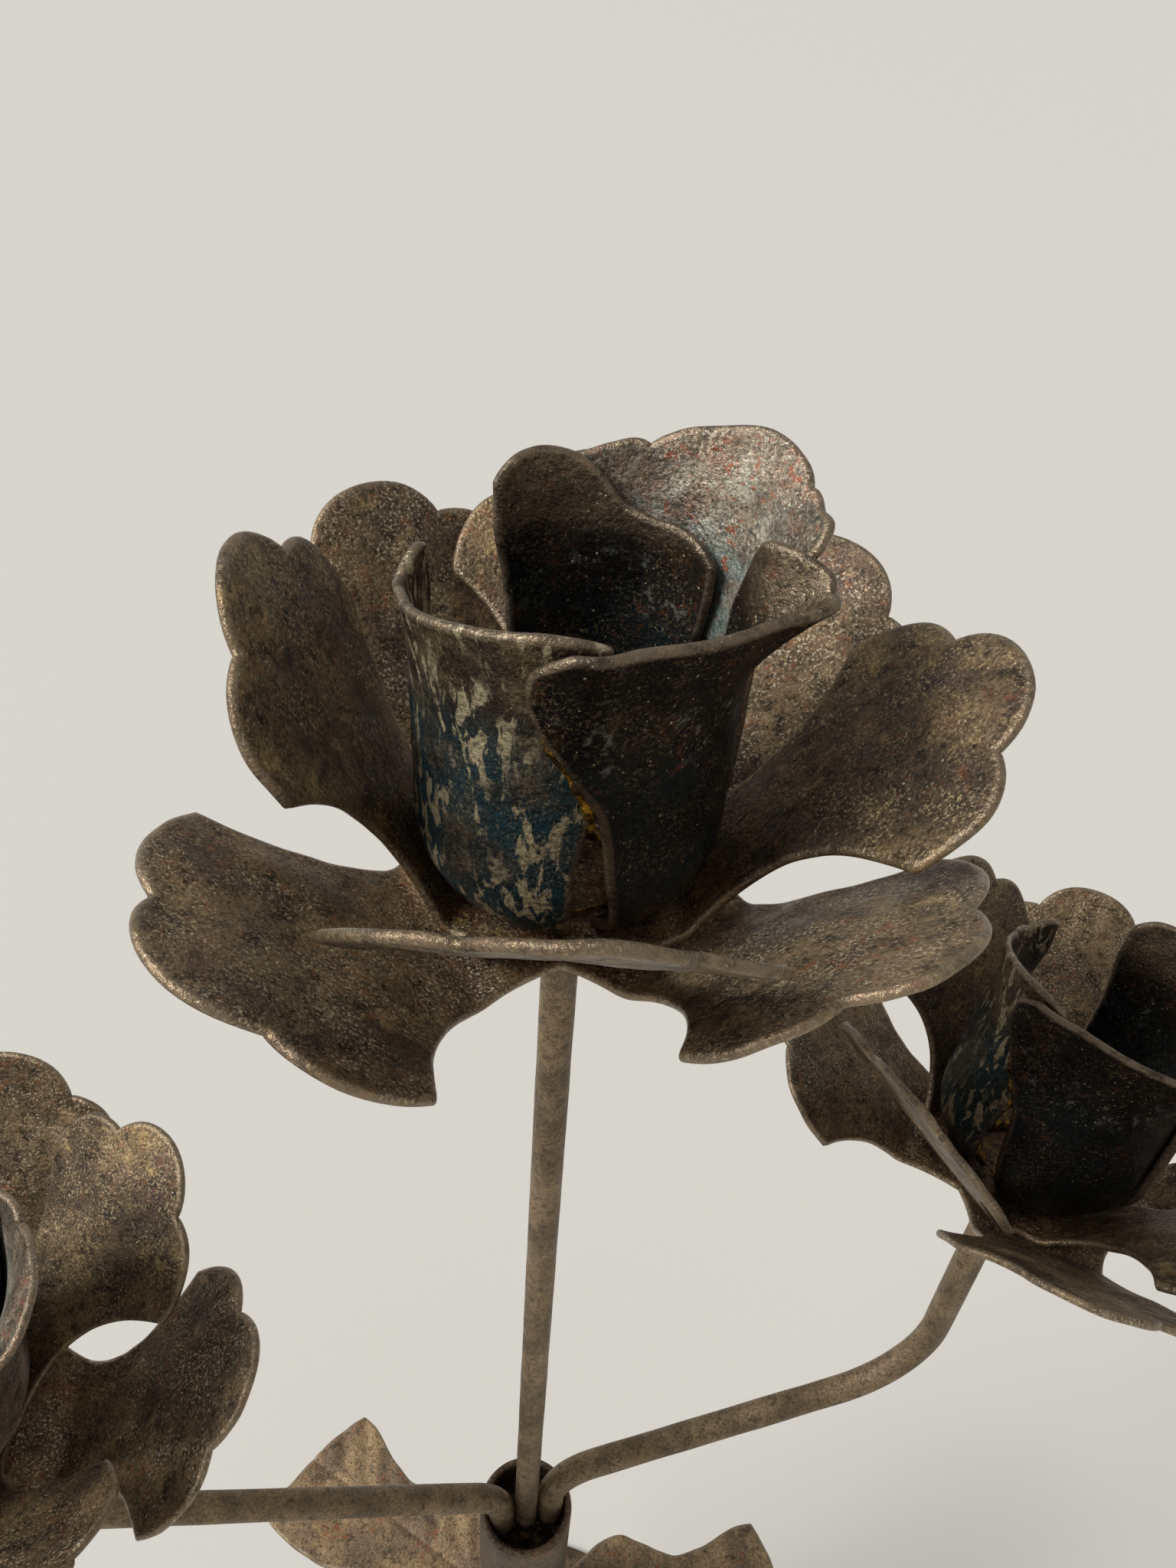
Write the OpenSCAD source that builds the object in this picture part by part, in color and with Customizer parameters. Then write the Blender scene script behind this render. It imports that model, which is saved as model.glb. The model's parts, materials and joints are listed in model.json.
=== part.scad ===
// Wrought steel candle holder with three roses.
// A trunk tube on a round base holds three rods, and each rod carries a flower.
// A flower is two flat four-petalled blanks with their petals bent up, and a cup of four rolled petals.
// Origin: centre of the base's underside, on the trunk's axis. +Z is up and +X points to the right flower.

/* [Base and trunk] */
// Diameter of the round base plate
base_d = 104; // [98:1:112]
// Thickness of the base plate at its rim
base_rim_t = 2.5; // [2:0.1:3.5]
// Thickness of the base plate under the trunk
base_hub_t = 5; // [4.5:0.1:6.5]
// Outer diameter of the trunk tube
trunk_d = 16; // [15.8:0.1:17]
// Wall of the trunk tube
trunk_wall = 1.3; // [1.1:0.1:1.4]
// Height of the trunk tube's mouth above the ground
mouth_h = 160; // [150:1:170]
// Size of the weld bead round the foot of the trunk
weld_leg = 3; // [2:0.1:4]

/* [Rods] */
// Diameter of the rod that carries the centre flower
stem_d = 4; // [3.8:0.1:4.2]
// Diameter of the rods that carry the side flowers
arm_d = 4.5; // [4.2:0.1:4.6]
// Length of rod that is stuffed into the trunk
tuck_depth = 30; // [24:1:40]
// Straight length of the right arm above the trunk's mouth
right_mouth_rise = 2.5; // [1.5:0.1:3.5]
// Straight length of the left arm above the trunk's mouth
left_mouth_rise = 0.5; // [0.3:0.1:1.5]
// Radius of the bend above the mouth, on the rod's centre line
mouth_bend_r = 9; // [8:0.5:10]
// Radius of the elbow below a side flower, on the rod's centre line
elbow_r = 18; // [15:0.5:20]
// Depth of the brass plug that holds the rods in the mouth
plug_t = 4; // [3:0.1:6]
// Depth of the plug below the rim of the mouth
plug_drop = 4; // [3:0.1:6]

/* [Flower places] */
// Height of the centre flower's plate above the trunk's mouth
centre_rise = 148; // [140:1:156]
// Height of the right flower's plate above the trunk's mouth
right_rise = 83; // [79:1:88]
// Distance of the right flower from the trunk's axis
right_reach = 69.2; // [66:0.1:73]
// Height of the left flower's plate above the trunk's mouth
left_rise = 71; // [67:1:76]
// Distance of the left flower from the trunk's axis
left_reach = 79.9; // [77:0.1:84]

/* [Sheet petals] */
// Thickness of all the sheet
sheet_t = 1; // [0.8:0.1:1.1]
// Distance from a flower's axis to the end of a flat petal
petal_reach = 49.3; // [46:0.1:52]
// Half the side of the flat square between the upper petals
upper_crotch = 9; // [8.8:0.1:9.3]
// Half the side of the flat square between the lower petals
lower_crotch = 10.5; // [10.2:0.1:10.8]
// Distance from the axis at which the upper petals start to bend
upper_bend = 9.6; // [9.5:0.1:10]
// Distance from the axis at which the lower petals start to bend
lower_bend = 15.8; // [15.7:0.1:16.4]
// How far the middle of the lower blank lies behind the flower's axis
lower_shift = 4; // [3.5:0.1:4.2]
// Length of sheet that a bend takes up
bend_run = 2; // [1.5:0.1:3]

/* [Cup] */
// Radius of the candle's socket
socket_r = 13.25; // [13:0.05:13.5]
// Radius of the cup's foot
foot_r = 7; // [6.6:0.1:7.3]
// Height at which the cup's belly reaches the socket's radius
belly_h = 10.5; // [9:0.1:11]
// Height at which the lips start to flare
lip_h = 24; // [22:0.1:26]
// Height of the cup
cup_h = 36; // [34:0.5:40]
// Width of the brass bead inside the cup's foot
bead_w = 1.6; // [1:0.1:2.5]

/* [Leaves] */
// Distance from the trunk's axis to a leaf's tip
leaf_reach = 54; // [50:1:58]
// Depth of the leaves' roots below the trunk's mouth
leaf_drop = 53; // [46:1:60]

/* [Hidden] */
$fn = 64;
// How far a cut runs past what it cuts
overrun = 1;
// Space between sheets that lie on each other, and round a brazed rod
lap_gap = 0.1;
// Angles, in degrees, of the arms and of the poses of the side flowers
right_az = 15;
left_az = 197.3;
right_arm_rise = 12;
left_arm_rise = 27.4;
riser_lean = 1;
right_lean = [11.4, 33.2];
left_lean = [8.2, -12.7];
right_spin = -61;
left_spin = -43;
// Azimuth, tilt, twist and curl of each petal of a blank, and how broad its two sides are
upper_petals = [
    [1.2, 49, 6, -7, 0, 0],
    [89, 48, 0, 0, 0, 0],
    [184.6, 63.5, -4, 0, 0, 0],
    [272.2, 46, -3.5, 0, 1, 0]];
lower_petals = [
    [45, 47, 6, 0, 0, 0],
    [133.5, 58, -4, 0, 0, 0],
    [229.3, 35, -16.5, -3, 1, 0.5],
    [313.5, 40.5, 3, -7, 0.2, 0.7]];
// Outline of a petal, as shares of its reach: along it, then across it
ear_tip_share = [0.715, 0.305];
ear_side_share = [0.9, 0.3];
notch_share = [0.9, 0.152];
middle_side_share = [1, 0.114];
waist_share = [0.515, 0.035];
broad_ear_share = [-0.03, 0.07];
broad_waist_share = [0, 0.15];
middle_steps = 2;
ear_steps = 4;
half_steps = middle_steps + ear_steps;
row_steps = 7;
col_count = 2 * half_steps + 1;
petal_points = (row_steps + 1) * col_count;
blank_points = 4 * petal_points;
lower_drop = sheet_t + lap_gap;
under_plates = lower_drop + sheet_t + lap_gap;
// Facets round a bent rod, and rings in each bend
rod_sides = 16;
bend_steps = 6;
// Profile of the belly: share of the way out from foot to socket, then share of the way up
belly_shares = [[0, 0], [0.42, 0.18], [0.7, 0.4], [0.9, 0.67], [1, 1]];
lip_steps = 4;
// Each rolled petal: first azimuth, last azimuth, flare of its lip as a share of the socket's radius
cup_spans = [[168, 279.5], [284, 386], [34, 129], [3, 106]];
cup_flare_shares = [0.15, 0.2, 0.07, 0.33];
// Azimuth that each rolled petal faces
cup_middles = [225, 320, 82, 55];
flap_span = [250, 282];
web_span = [281, 285];
// Outline of each rolled petal: azimuth, then share of the cup's height
cup_1_shares = [[183, 0], [276, 0], [275, 0.3], [279.3, 0.5], [279.3, 1.01], [262, 0.99], [246, 1],
    [237, 0.95], [216, 0.93], [203, 0.9], [190, 0.92], [182, 0.95], [172, 0.95], [169, 0.85], [171, 0.6],
    [180, 0.3]];
cup_2_shares = [[287, 0], [374, 0], [380, 0.3], [385, 0.5], [386, 0.8], [380, 0.93], [363, 1], [354, 0.92],
    [346, 0.97], [334, 0.95], [322, 0.99], [300, 0.98], [272, 0.97], [260, 0.94], [254, 0.85], [258, 0.76],
    [270, 0.68], [280, 0.53], [285, 0.42], [285, 0.2]];
cup_3_shares = [[60, 0], [120, 0], [127, 0.5], [129, 0.9], [126, 1], [112, 1.06], [98, 1.03], [92, 0.98],
    [80, 0.97], [66, 0.9], [50, 0.9], [38, 0.86], [34.5, 0.7], [37, 0.56], [50, 0.28]];
cup_4_shares = [[20, 0], [88, 0], [104, 0.5], [106, 0.85], [98, 0.99], [84, 1.03], [75, 0.99], [67, 1.07],
    [50, 1.12], [34, 1.08], [25, 0.99], [18, 1.03], [6, 1], [3.5, 0.85], [6, 0.5], [14, 0.2]];
// Outline of a leaf's back and front half, as shares of its reach: along it, then across it
leaf_back_shares = [[0.142, 0.083], [0.24, 0.15], [0.35, 0.228], [0.43, 0.235], [0.52, 0.18], [0.6, 0.14],
    [0.7, 0.16], [0.87, 0.232], [0.925, 0.245], [0.955, 0.17], [0.99, 0.03]];
leaf_front_shares = [[0.142, 0.083], [0.22, 0.16], [0.31, 0.215], [0.4, 0.205], [0.48, 0.165], [0.56, 0.19],
    [0.68, 0.265], [0.85, 0.285], [0.96, 0.275], [1, 0.24], [1, 0.12]];
// Share of an edge that a rounded corner takes, and least share of a petal before its bend
corner_share = 0.25;
least_share = 0.02;
// Dome of the base: share of its radius, then share of its rise
// The boss and the weld are shares of the weld's leg
dome_share = [0.7, 0.35];
boss_share = 1.3;
weld_share = 0.45;
leaf_tilt = 3;
left_leaf_az = 152;
right_leaf_az = 7;
tube_bore_r = trunk_d / 2 - trunk_wall;
centre_h = mouth_h + centre_rise;
right_h = mouth_h + right_rise;
left_h = mouth_h + left_rise;
leaf_h = mouth_h - leaf_drop;
tuck_r = (stem_d / 2 + tube_bore_r) / 2;

steel = "#3b3733";
blued = "#2c3a3c";
rusty = "#7a6248";
brass = "#b08d3c";

// Curves
function curve(a, b, c, t) = (1 - t) * (1 - t) * a + 2 * t * (1 - t) * b + t * t * c;
function unit(v) = v / norm(v);
function between(a, b, share) = (1 - share) * a + share * b;
// An outline with each corner cut once
function cut_corner(a, b) = [between(a, b, corner_share), between(b, a, corner_share)];
function rounded(points) = [for (i = [0:len(points) - 1])
    each cut_corner(points[i], points[(i + 1) % len(points)])];

// Flat outline of a petal: a middle lobe and an ear on each side
function ear_tip(broad) = petal_reach * (ear_tip_share + broad * broad_ear_share);
function end_point(k, broad) = k <= middle_steps
    ? petal_reach * curve([1, 0], middle_side_share, notch_share, k / middle_steps)
    : curve(petal_reach * notch_share, petal_reach * ear_side_share, ear_tip(broad),
        (k - middle_steps) / ear_steps);
// How far the petal's side lies from a straight line between crotch and ear
function waist(f, broad, crotch) = 2 * f * (1 - f)
    * (petal_reach * (waist_share + broad * broad_waist_share) - ([crotch, crotch] + ear_tip(broad)) / 2);
// A point of the flat petal: q across it from -1 to 1, f out along it from 0 to 1
function flat_point(q, f, broad, crotch) = let (a = abs(q), e = end_point(round(a * half_steps), broad),
        w = waist(f, broad, crotch))
    [crotch * (1 - f) + e[0] * f + a * a * w[0], sign(q) * (a * crotch * (1 - f) + e[1] * f + a * w[1])];
function along(p, twist) = p[0] * cos(twist) + p[1] * sin(twist);
function across(p, twist) = p[1] * cos(twist) - p[0] * sin(twist);
function row_share(i, first, last) = i == 0 ? 0
    : i == 1 ? first
    : last + (1 - last) * (i - 2) / (row_steps - 2);

// Bend of the sheet: an arc of bend_run, then a straight or gently curled run
function turn_at(w, tilt, curl) = w <= 0 ? 0
    : w < bend_run ? tilt * w / bend_run
    : tilt + curl * (w - bend_run) / petal_reach;
function arc_r(tilt) = bend_run * 180 / (PI * tilt);
function curl_r(curl) = petal_reach * 180 / (PI * curl);
function run_at(w, tilt, curl) = w <= 0 ? w
    : w < bend_run ? arc_r(tilt) * sin(tilt * w / bend_run)
    : arc_r(tilt) * sin(tilt) + (curl == 0 ? (w - bend_run) * cos(tilt)
        : curl_r(curl) * (sin(turn_at(w, tilt, curl)) - sin(tilt)));
function rise_at(w, tilt, curl) = w <= 0 ? 0
    : w < bend_run ? arc_r(tilt) * (1 - cos(tilt * w / bend_run))
    : arc_r(tilt) * (1 - cos(tilt)) + (curl == 0 ? (w - bend_run) * sin(tilt)
        : curl_r(curl) * (cos(tilt) - cos(turn_at(w, tilt, curl))));
function spun(u, s, z, az) = [u * cos(az) - s * sin(az), u * sin(az) + s * cos(az), z];
function bent_point(p, petal, start, depth) = let (tilt = petal[1], twist = petal[2], curl = petal[3],
        w = along(p, twist) - start, n = across(p, twist), t = turn_at(w, tilt, curl),
        m = start + run_at(w, tilt, curl) + depth * sin(t), z = rise_at(w, tilt, curl) - depth * cos(t))
    spun(m * cos(twist) - n * sin(twist), m * sin(twist) + n * cos(twist), z, petal[0]);
function middle_az(a, b) = a + ((b - a + 360) % 360) / 2;
function corner(az, depth, crotch) = [crotch * sqrt(2) * cos(az), crotch * sqrt(2) * sin(az), -depth];
// Row 0 runs from corner to corner of the flat square, row 1 along the start of the bend, row 2 along its end
function blank_point(petals, k, i, j, crotch, start, depth) = let (petal = petals[k],
        q = (j - half_steps) / half_steps,
        broad = q < 0 ? petal[4] : petal[5], far = end_point(abs(j - half_steps), broad),
        m0 = along([crotch, q * crotch], petal[2]), m1 = along([far[0], sign(q) * far[1]], petal[2]),
        first = max(least_share, (start - m0) / (m1 - m0)), last = (start + bend_run - m0) / (m1 - m0),
        before = corner(middle_az(petals[(k + 3) % 4][0], petal[0]), depth, crotch),
        after = corner(middle_az(petal[0], petals[(k + 1) % 4][0]), depth, crotch))
    i == 0 ? between(before, after, (1 + q) / 2)
    : bent_point(flat_point(q, row_share(i, first, last), broad, crotch), petal, start, depth);
function spot(k, i, j) = i == 0 && j == col_count - 1 ? spot((k + 1) % 4, 0, 0)
    : k * petal_points + i * col_count + j;
function quad(a, b, c, d) = [[a, b, d], [b, c, d]];

// A four-petalled blank of sheet, its upper face at zero height
module blank(petals, crotch, start) {
    under = blank_points;
    centre = 2 * blank_points;
    points = [for (depth = [0, sheet_t], k = [0:3], i = [0:row_steps], j = [0:col_count - 1])
        blank_point(petals, k, i, j, crotch, start, depth)];
    tops = [for (k = [0:3], i = [0:row_steps - 1], j = [0:col_count - 2])
        each quad(spot(k, i, j), spot(k, i, j + 1), spot(k, i + 1, j + 1), spot(k, i + 1, j))];
    fans = [for (k = [0:3], j = [0:col_count - 2]) [spot(k, 0, j + 1), spot(k, 0, j)]];
    lefts = [for (k = [0:3], i = [0:row_steps - 1])
        [spot(k, i + 1, col_count - 1), spot(k, i, col_count - 1)]];
    rights = [for (k = [0:3], i = [0:row_steps - 1]) [spot(k, i, 0), spot(k, i + 1, 0)]];
    ends = [for (k = [0:3], j = [0:col_count - 2]) [spot(k, row_steps, j), spot(k, row_steps, j + 1)]];
    polyhedron(concat(points, [[0, 0, 0], [0, 0, -sheet_t]]), concat(
        tops, [for (f = tops) [f[2] + under, f[1] + under, f[0] + under]],
        [for (e = fans) [centre, e[0], e[1]]], [for (e = fans) [centre + 1, e[1] + under, e[0] + under]],
        [for (e = concat(lefts, rights, ends)) each quad(e[0], e[1], e[1] + under, e[0] + under)]));
}

module upper_blank() { blank(upper_petals, upper_crotch, upper_bend); }
module lower_blank() {
    translate([0, lower_shift, -lower_drop]) blank(lower_petals, lower_crotch, lower_bend);
}

// Wall of the cup: a profile from foot to lip, one sheet thick
function wall_line(flare, top) = concat(
    [for (b = belly_shares) [foot_r + (socket_r - foot_r) * b[0], belly_h * b[1]]],
    [for (i = [0:lip_steps]) let (f = i / lip_steps) [socket_r + flare * f * f, between(lip_h, top, f)]]);
function wall_normal(line, i) = let (d = line[min(i + 1, len(line) - 1)] - line[max(i - 1, 0)])
    unit([d[1], -d[0]]);
function outer_line(line, t) = [for (i = [0:len(line) - 1]) let (n = wall_normal(line, i))
    i == 0 ? line[0] + [t / n[0], 0] : line[i] + t * n];
module wall_band(inside, outside, span) {
    rotate([0, 0, span[0]]) rotate_extrude(angle = span[1] - span[0])
        polygon(concat(inside, [for (i = [len(outside) - 1:-1:0]) outside[i]]));
}
// A prism along the middle azimuth, with the petal's outline
function wall_r(h) = sheet_t
    + lookup(h, [for (b = belly_shares) [belly_h * b[1], foot_r + (socket_r - foot_r) * b[0]]]);
module petal_prism(shares, middle) {
    rotate([0, 0, middle]) rotate([90, 0, 90]) linear_extrude(height = 3 * socket_r)
        polygon(rounded([for (p = shares) [wall_r(cup_h * p[1]) * sin(p[0] - middle), cup_h * p[1]]]));
}
cup_top = 1.2 * cup_h;
function wall_of(n) = wall_line(socket_r * cup_flare_shares[n], cup_top);
// A wall's faces: its own two, and those of a wall that laps over it
function outer_face(n) = outer_line(wall_of(n), sheet_t);
function lap_face(n) = outer_line(wall_of(n), sheet_t + lap_gap);
function lap_outer_face(n) = outer_line(wall_of(n), 2 * sheet_t + lap_gap);

module cup_petal_1() {
    intersection() {
        wall_band(wall_of(0), outer_face(0), cup_spans[0]);
        petal_prism(cup_1_shares, cup_middles[0]);
    }
}
module cup_petal_2() {
    intersection() {
        union() {
            wall_band(wall_of(1), outer_face(1), cup_spans[1]);
            wall_band(outer_line(wall_of(1), lap_gap), outer_line(wall_of(1), 2 * sheet_t), web_span);
            wall_band(lap_face(1), lap_outer_face(1), flap_span);
        }
        petal_prism(cup_2_shares, cup_middles[1]);
    }
}
module cup_petal_3() {
    intersection() {
        wall_band(wall_of(2), outer_face(2), cup_spans[2]);
        petal_prism(cup_3_shares, cup_middles[2]);
    }
}
module cup_petal_4() {
    intersection() {
        wall_band(lap_face(3), lap_outer_face(3), cup_spans[3]);
        petal_prism(cup_4_shares, cup_middles[3]);
    }
}

// Brass bead inside the cup's foot, and a collar of brass round the rod under the plates
module flower_braze(rod_d, lean) {
    bead_r = foot_r - lap_gap;
    collar_r = rod_d / 2 + lap_gap + (under_plates + bead_w) * tan(lean);
    under = -under_plates;
    rotate_extrude() polygon([[bead_r - bead_w, 0], [bead_r, 0], [bead_r, bead_w / 2],
        [bead_r - bead_w / 2, bead_w]]);
    rotate_extrude() polygon([[collar_r, under], [collar_r + bead_w, under], [collar_r, under - bead_w]]);
}

// Places of the three flowers
function ring_point(r, az, h) = [r * cos(az), r * sin(az), h];
module flower_place(spot, lean, spin) {
    translate(spot) rotate([0, 0, lean[1]]) rotate([0, lean[0], 0]) rotate([0, 0, spin - lean[1]]) children();
}
module at_centre() { flower_place([0, 0, centre_h], [0, 0], 0) children(); }
module at_left() { flower_place(ring_point(left_reach, left_az, left_h), left_lean, left_spin) children(); }
module at_right() {
    flower_place(ring_point(right_reach, right_az, right_h), right_lean, right_spin) children();
}

// A rod as rings of points along its path, each ring square to the path
function rod_ring(p, turn, r) = [for (k = [0:rod_sides - 1]) let (a = 360 * k / rod_sides)
    [p[0] + r * cos(a) * cos(turn), r * sin(a), p[1] - r * cos(a) * sin(turn)]];
// The last ring, slid along the rod until it lies in the face that the rod butts against
function butted(ring, turn, face, normal) = let (t = [sin(turn), 0, cos(turn)])
    [for (p = ring) p + t * (((face - p) * normal) / (t * normal))];
module swept(rings) {
    last = len(rings) - 1;
    polyhedron([for (ring = rings) each ring], concat(
        [for (i = [0:last - 1], k = [0:rod_sides - 1]) let (c = i * rod_sides, n = (k + 1) % rod_sides)
            each quad(c + k, c + rod_sides + k, c + rod_sides + n, c + n)],
        [[for (k = [0:rod_sides - 1]) k]],
        [[for (k = [rod_sides - 1:-1:0]) last * rod_sides + k]]));
}
// An arm leaves the mouth, runs outwards and a little up, and turns up to its flower's lower plate
module arm(reach, top, lean, rise, mouth_rise) {
    out_turn = 90 - rise;
    start = [tuck_r, mouth_h + mouth_rise];
    out_end = start + mouth_bend_r * [1 - cos(out_turn), sin(out_turn)];
    elbow = elbow_r * [cos(riser_lean) - cos(out_turn), sin(out_turn) - sin(riser_lean)];
    left_over = [reach, top] - out_end - elbow;
    riser = (left_over[1] * sin(out_turn) - left_over[0] * cos(out_turn)) / sin(out_turn - riser_lean);
    run = (left_over[0] - riser * sin(riser_lean)) / sin(out_turn);
    run_end = out_end + run * [sin(out_turn), cos(out_turn)];
    normal = [sin(lean[0]) * cos(lean[1]), sin(lean[0]) * sin(lean[1]), cos(lean[0])];
    face = [reach, 0, top] - under_plates * normal;
    swept(concat(
        [rod_ring([tuck_r, mouth_h - tuck_depth], 0, arm_d / 2)],
        [for (i = [0:bend_steps]) let (t = out_turn * i / bend_steps)
            rod_ring(start + mouth_bend_r * [1 - cos(t), sin(t)], t, arm_d / 2)],
        [for (i = [0:bend_steps]) let (t = out_turn + (riser_lean - out_turn) * i / bend_steps)
            rod_ring(run_end + elbow_r * [cos(t) - cos(out_turn), sin(out_turn) - sin(t)], t, arm_d / 2)],
        [butted(rod_ring([reach, top], riser_lean, arm_d / 2), riser_lean, face, normal)]));
}

// The right leaf has its back half at its left, and the left leaf is its mirror image
module leaf() {
    back = [for (p = leaf_back_shares) leaf_reach * p];
    front = [for (i = [len(leaf_front_shares) - 1:-1:0])
        leaf_reach * [leaf_front_shares[i][0], -leaf_front_shares[i][1]]];
    rotate([0, -leaf_tilt, 0]) linear_extrude(height = sheet_t) polygon(rounded(concat(back, front)));
}
module left_leaf_shape() {
    translate([0, 0, leaf_h]) rotate([0, 0, left_leaf_az]) mirror([0, 1, 0]) leaf();
}
module right_leaf_shape() {
    translate([0, 0, leaf_h]) rotate([0, 0, right_leaf_az]) leaf();
}
module trunk_space() {
    cylinder(r = trunk_d / 2 + lap_gap, h = mouth_h + overrun);
}

module base_plate() {
    r = base_d / 2;
    boss_r = trunk_d / 2 + boss_share * weld_leg;
    color(steel) rotate_extrude() polygon([[0, 0], [r - base_rim_t / 2, 0], [r, base_rim_t / 2],
        [r - base_rim_t / 2, base_rim_t],
        [r * dome_share[0], between(base_rim_t, base_hub_t, dome_share[1])],
        [boss_r, base_hub_t], [0, base_hub_t]]);
}
module base_weld() {
    r = trunk_d / 2 + lap_gap;
    color(rusty) rotate_extrude() polygon([[r, base_hub_t], [r + weld_leg, base_hub_t],
        [r + weld_leg * weld_share, base_hub_t + weld_leg * weld_share], [r, base_hub_t + weld_leg]]);
}
module trunk_tube() {
    color(steel) translate([0, 0, base_hub_t]) difference() {
        cylinder(d = trunk_d, h = mouth_h - base_hub_t);
        translate([0, 0, -overrun]) cylinder(r = tube_bore_r, h = mouth_h + 2 * overrun);
    }
}
module hub_braze() {
    color(brass) translate([0, 0, mouth_h - plug_drop - plug_t]) difference() {
        cylinder(r = tube_bore_r - lap_gap, h = plug_t);
        translate([0, 0, -overrun]) cylinder(d = stem_d + 2 * lap_gap, h = plug_t + 2 * overrun);
        for (az = [left_az, right_az]) translate(ring_point(tuck_r, az, -overrun))
            cylinder(d = arm_d + 2 * lap_gap, h = plug_t + 2 * overrun);
    }
}
module centre_stem() {
    top = centre_h - under_plates;
    color(steel) translate([0, 0, mouth_h - tuck_depth]) cylinder(d = stem_d, h = top - mouth_h + tuck_depth);
}
module left_arm() {
    color(steel) rotate([0, 0, left_az])
        arm(left_reach, left_h, left_lean - [0, left_az], left_arm_rise, left_mouth_rise);
}
module right_arm() {
    color(steel) rotate([0, 0, right_az])
        arm(right_reach, right_h, right_lean - [0, right_az], right_arm_rise, right_mouth_rise);
}
module left_leaf() {
    color(rusty) difference() {
        left_leaf_shape();
        trunk_space();
    }
}
module right_leaf() {
    color(rusty) difference() {
        right_leaf_shape();
        trunk_space();
    }
}
module leaf_bead(az) {
    translate([0, 0, leaf_h]) rotate([0, 0, az]) rotate([0, -leaf_tilt, 0])
        translate([trunk_d / 2 - bead_w, -bead_w, -bead_w])
            cube([3 * bead_w, 2 * bead_w, bead_w - lap_gap]);
}
module leaf_braze() {
    color(brass) difference() {
        union() {
            leaf_bead(left_leaf_az);
            leaf_bead(right_leaf_az);
        }
        trunk_space();
        left_leaf_shape();
        right_leaf_shape();
    }
}

module centre_lower_petals() {
    color(steel) at_centre() lower_blank();
}
module centre_upper_petals() {
    color(steel) at_centre() upper_blank();
}
module centre_cup_petal_1() {
    color(blued) at_centre() cup_petal_1();
}
module centre_cup_petal_2() {
    color(blued) at_centre() cup_petal_2();
}
module centre_cup_petal_3() {
    color(steel) at_centre() cup_petal_3();
}
module centre_cup_petal_4() {
    color(steel) at_centre() cup_petal_4();
}
module centre_braze() {
    color(brass) at_centre() flower_braze(stem_d, 0);
}
module left_lower_petals() {
    color(steel) at_left() lower_blank();
}
module left_upper_petals() {
    color(steel) at_left() upper_blank();
}
module left_cup_petal_1() {
    color(blued) at_left() cup_petal_1();
}
module left_cup_petal_2() {
    color(blued) at_left() cup_petal_2();
}
module left_cup_petal_3() {
    color(steel) at_left() cup_petal_3();
}
module left_cup_petal_4() {
    color(steel) at_left() cup_petal_4();
}
module left_braze() {
    color(brass) at_left() flower_braze(arm_d, left_lean[0]);
}
module right_lower_petals() {
    color(steel) at_right() lower_blank();
}
module right_upper_petals() {
    color(steel) at_right() upper_blank();
}
module right_cup_petal_1() {
    color(blued) at_right() cup_petal_1();
}
module right_cup_petal_2() {
    color(blued) at_right() cup_petal_2();
}
module right_cup_petal_3() {
    color(steel) at_right() cup_petal_3();
}
module right_cup_petal_4() {
    color(steel) at_right() cup_petal_4();
}
module right_braze() {
    color(brass) at_right() flower_braze(arm_d, right_lean[0]);
}

base_plate();
base_weld();
trunk_tube();
hub_braze();
centre_stem();
left_arm();
right_arm();
left_leaf();
right_leaf();
leaf_braze();
centre_lower_petals();
centre_upper_petals();
centre_cup_petal_1();
centre_cup_petal_2();
centre_cup_petal_3();
centre_cup_petal_4();
centre_braze();
left_lower_petals();
left_upper_petals();
left_cup_petal_1();
left_cup_petal_2();
left_cup_petal_3();
left_cup_petal_4();
left_braze();
right_lower_petals();
right_upper_petals();
right_cup_petal_1();
right_cup_petal_2();
right_cup_petal_3();
right_cup_petal_4();
right_braze();
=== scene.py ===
"""Looks of a wrought steel candle holder with three roses on bent rods.

Lengths in the classes are millimetres. A flower is made round its own axis, with the top of its plates at
zero height, and is then placed on its rod.
"""

import json
import logging
import math
from dataclasses import dataclass
from enum import Enum

import bmesh
import bpy
import numpy as np
from mathutils import Matrix, Vector

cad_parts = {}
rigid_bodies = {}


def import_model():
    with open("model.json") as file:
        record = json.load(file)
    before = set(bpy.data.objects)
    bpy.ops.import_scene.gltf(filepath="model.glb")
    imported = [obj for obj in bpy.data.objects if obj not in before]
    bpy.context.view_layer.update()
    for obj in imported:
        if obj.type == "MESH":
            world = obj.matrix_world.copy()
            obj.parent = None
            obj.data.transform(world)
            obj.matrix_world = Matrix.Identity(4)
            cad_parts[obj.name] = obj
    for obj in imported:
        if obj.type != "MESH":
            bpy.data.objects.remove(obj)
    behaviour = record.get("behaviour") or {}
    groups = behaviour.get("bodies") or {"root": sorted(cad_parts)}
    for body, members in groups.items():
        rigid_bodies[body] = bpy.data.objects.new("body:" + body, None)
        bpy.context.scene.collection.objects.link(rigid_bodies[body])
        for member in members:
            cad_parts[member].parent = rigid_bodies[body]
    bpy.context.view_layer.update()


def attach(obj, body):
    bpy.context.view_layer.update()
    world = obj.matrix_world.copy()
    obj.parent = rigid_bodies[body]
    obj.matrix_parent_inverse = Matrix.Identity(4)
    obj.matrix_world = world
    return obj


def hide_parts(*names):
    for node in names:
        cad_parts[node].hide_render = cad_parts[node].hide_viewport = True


MM = 0.001
# The photograph's longer side in pixels, which the camera's sensor spans.
IMAGE_HEIGHT = 2048
# What a finish reads as the distance from a cut edge, in millimetres: on the round rim, and where none is near.
ON_RIM, NO_RIM = -0.2, 9.0
# Steps of the half circle that rounds a rim.
RIM_STEPS = 6
LOG = logging.getLogger("candle_holder")


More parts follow.
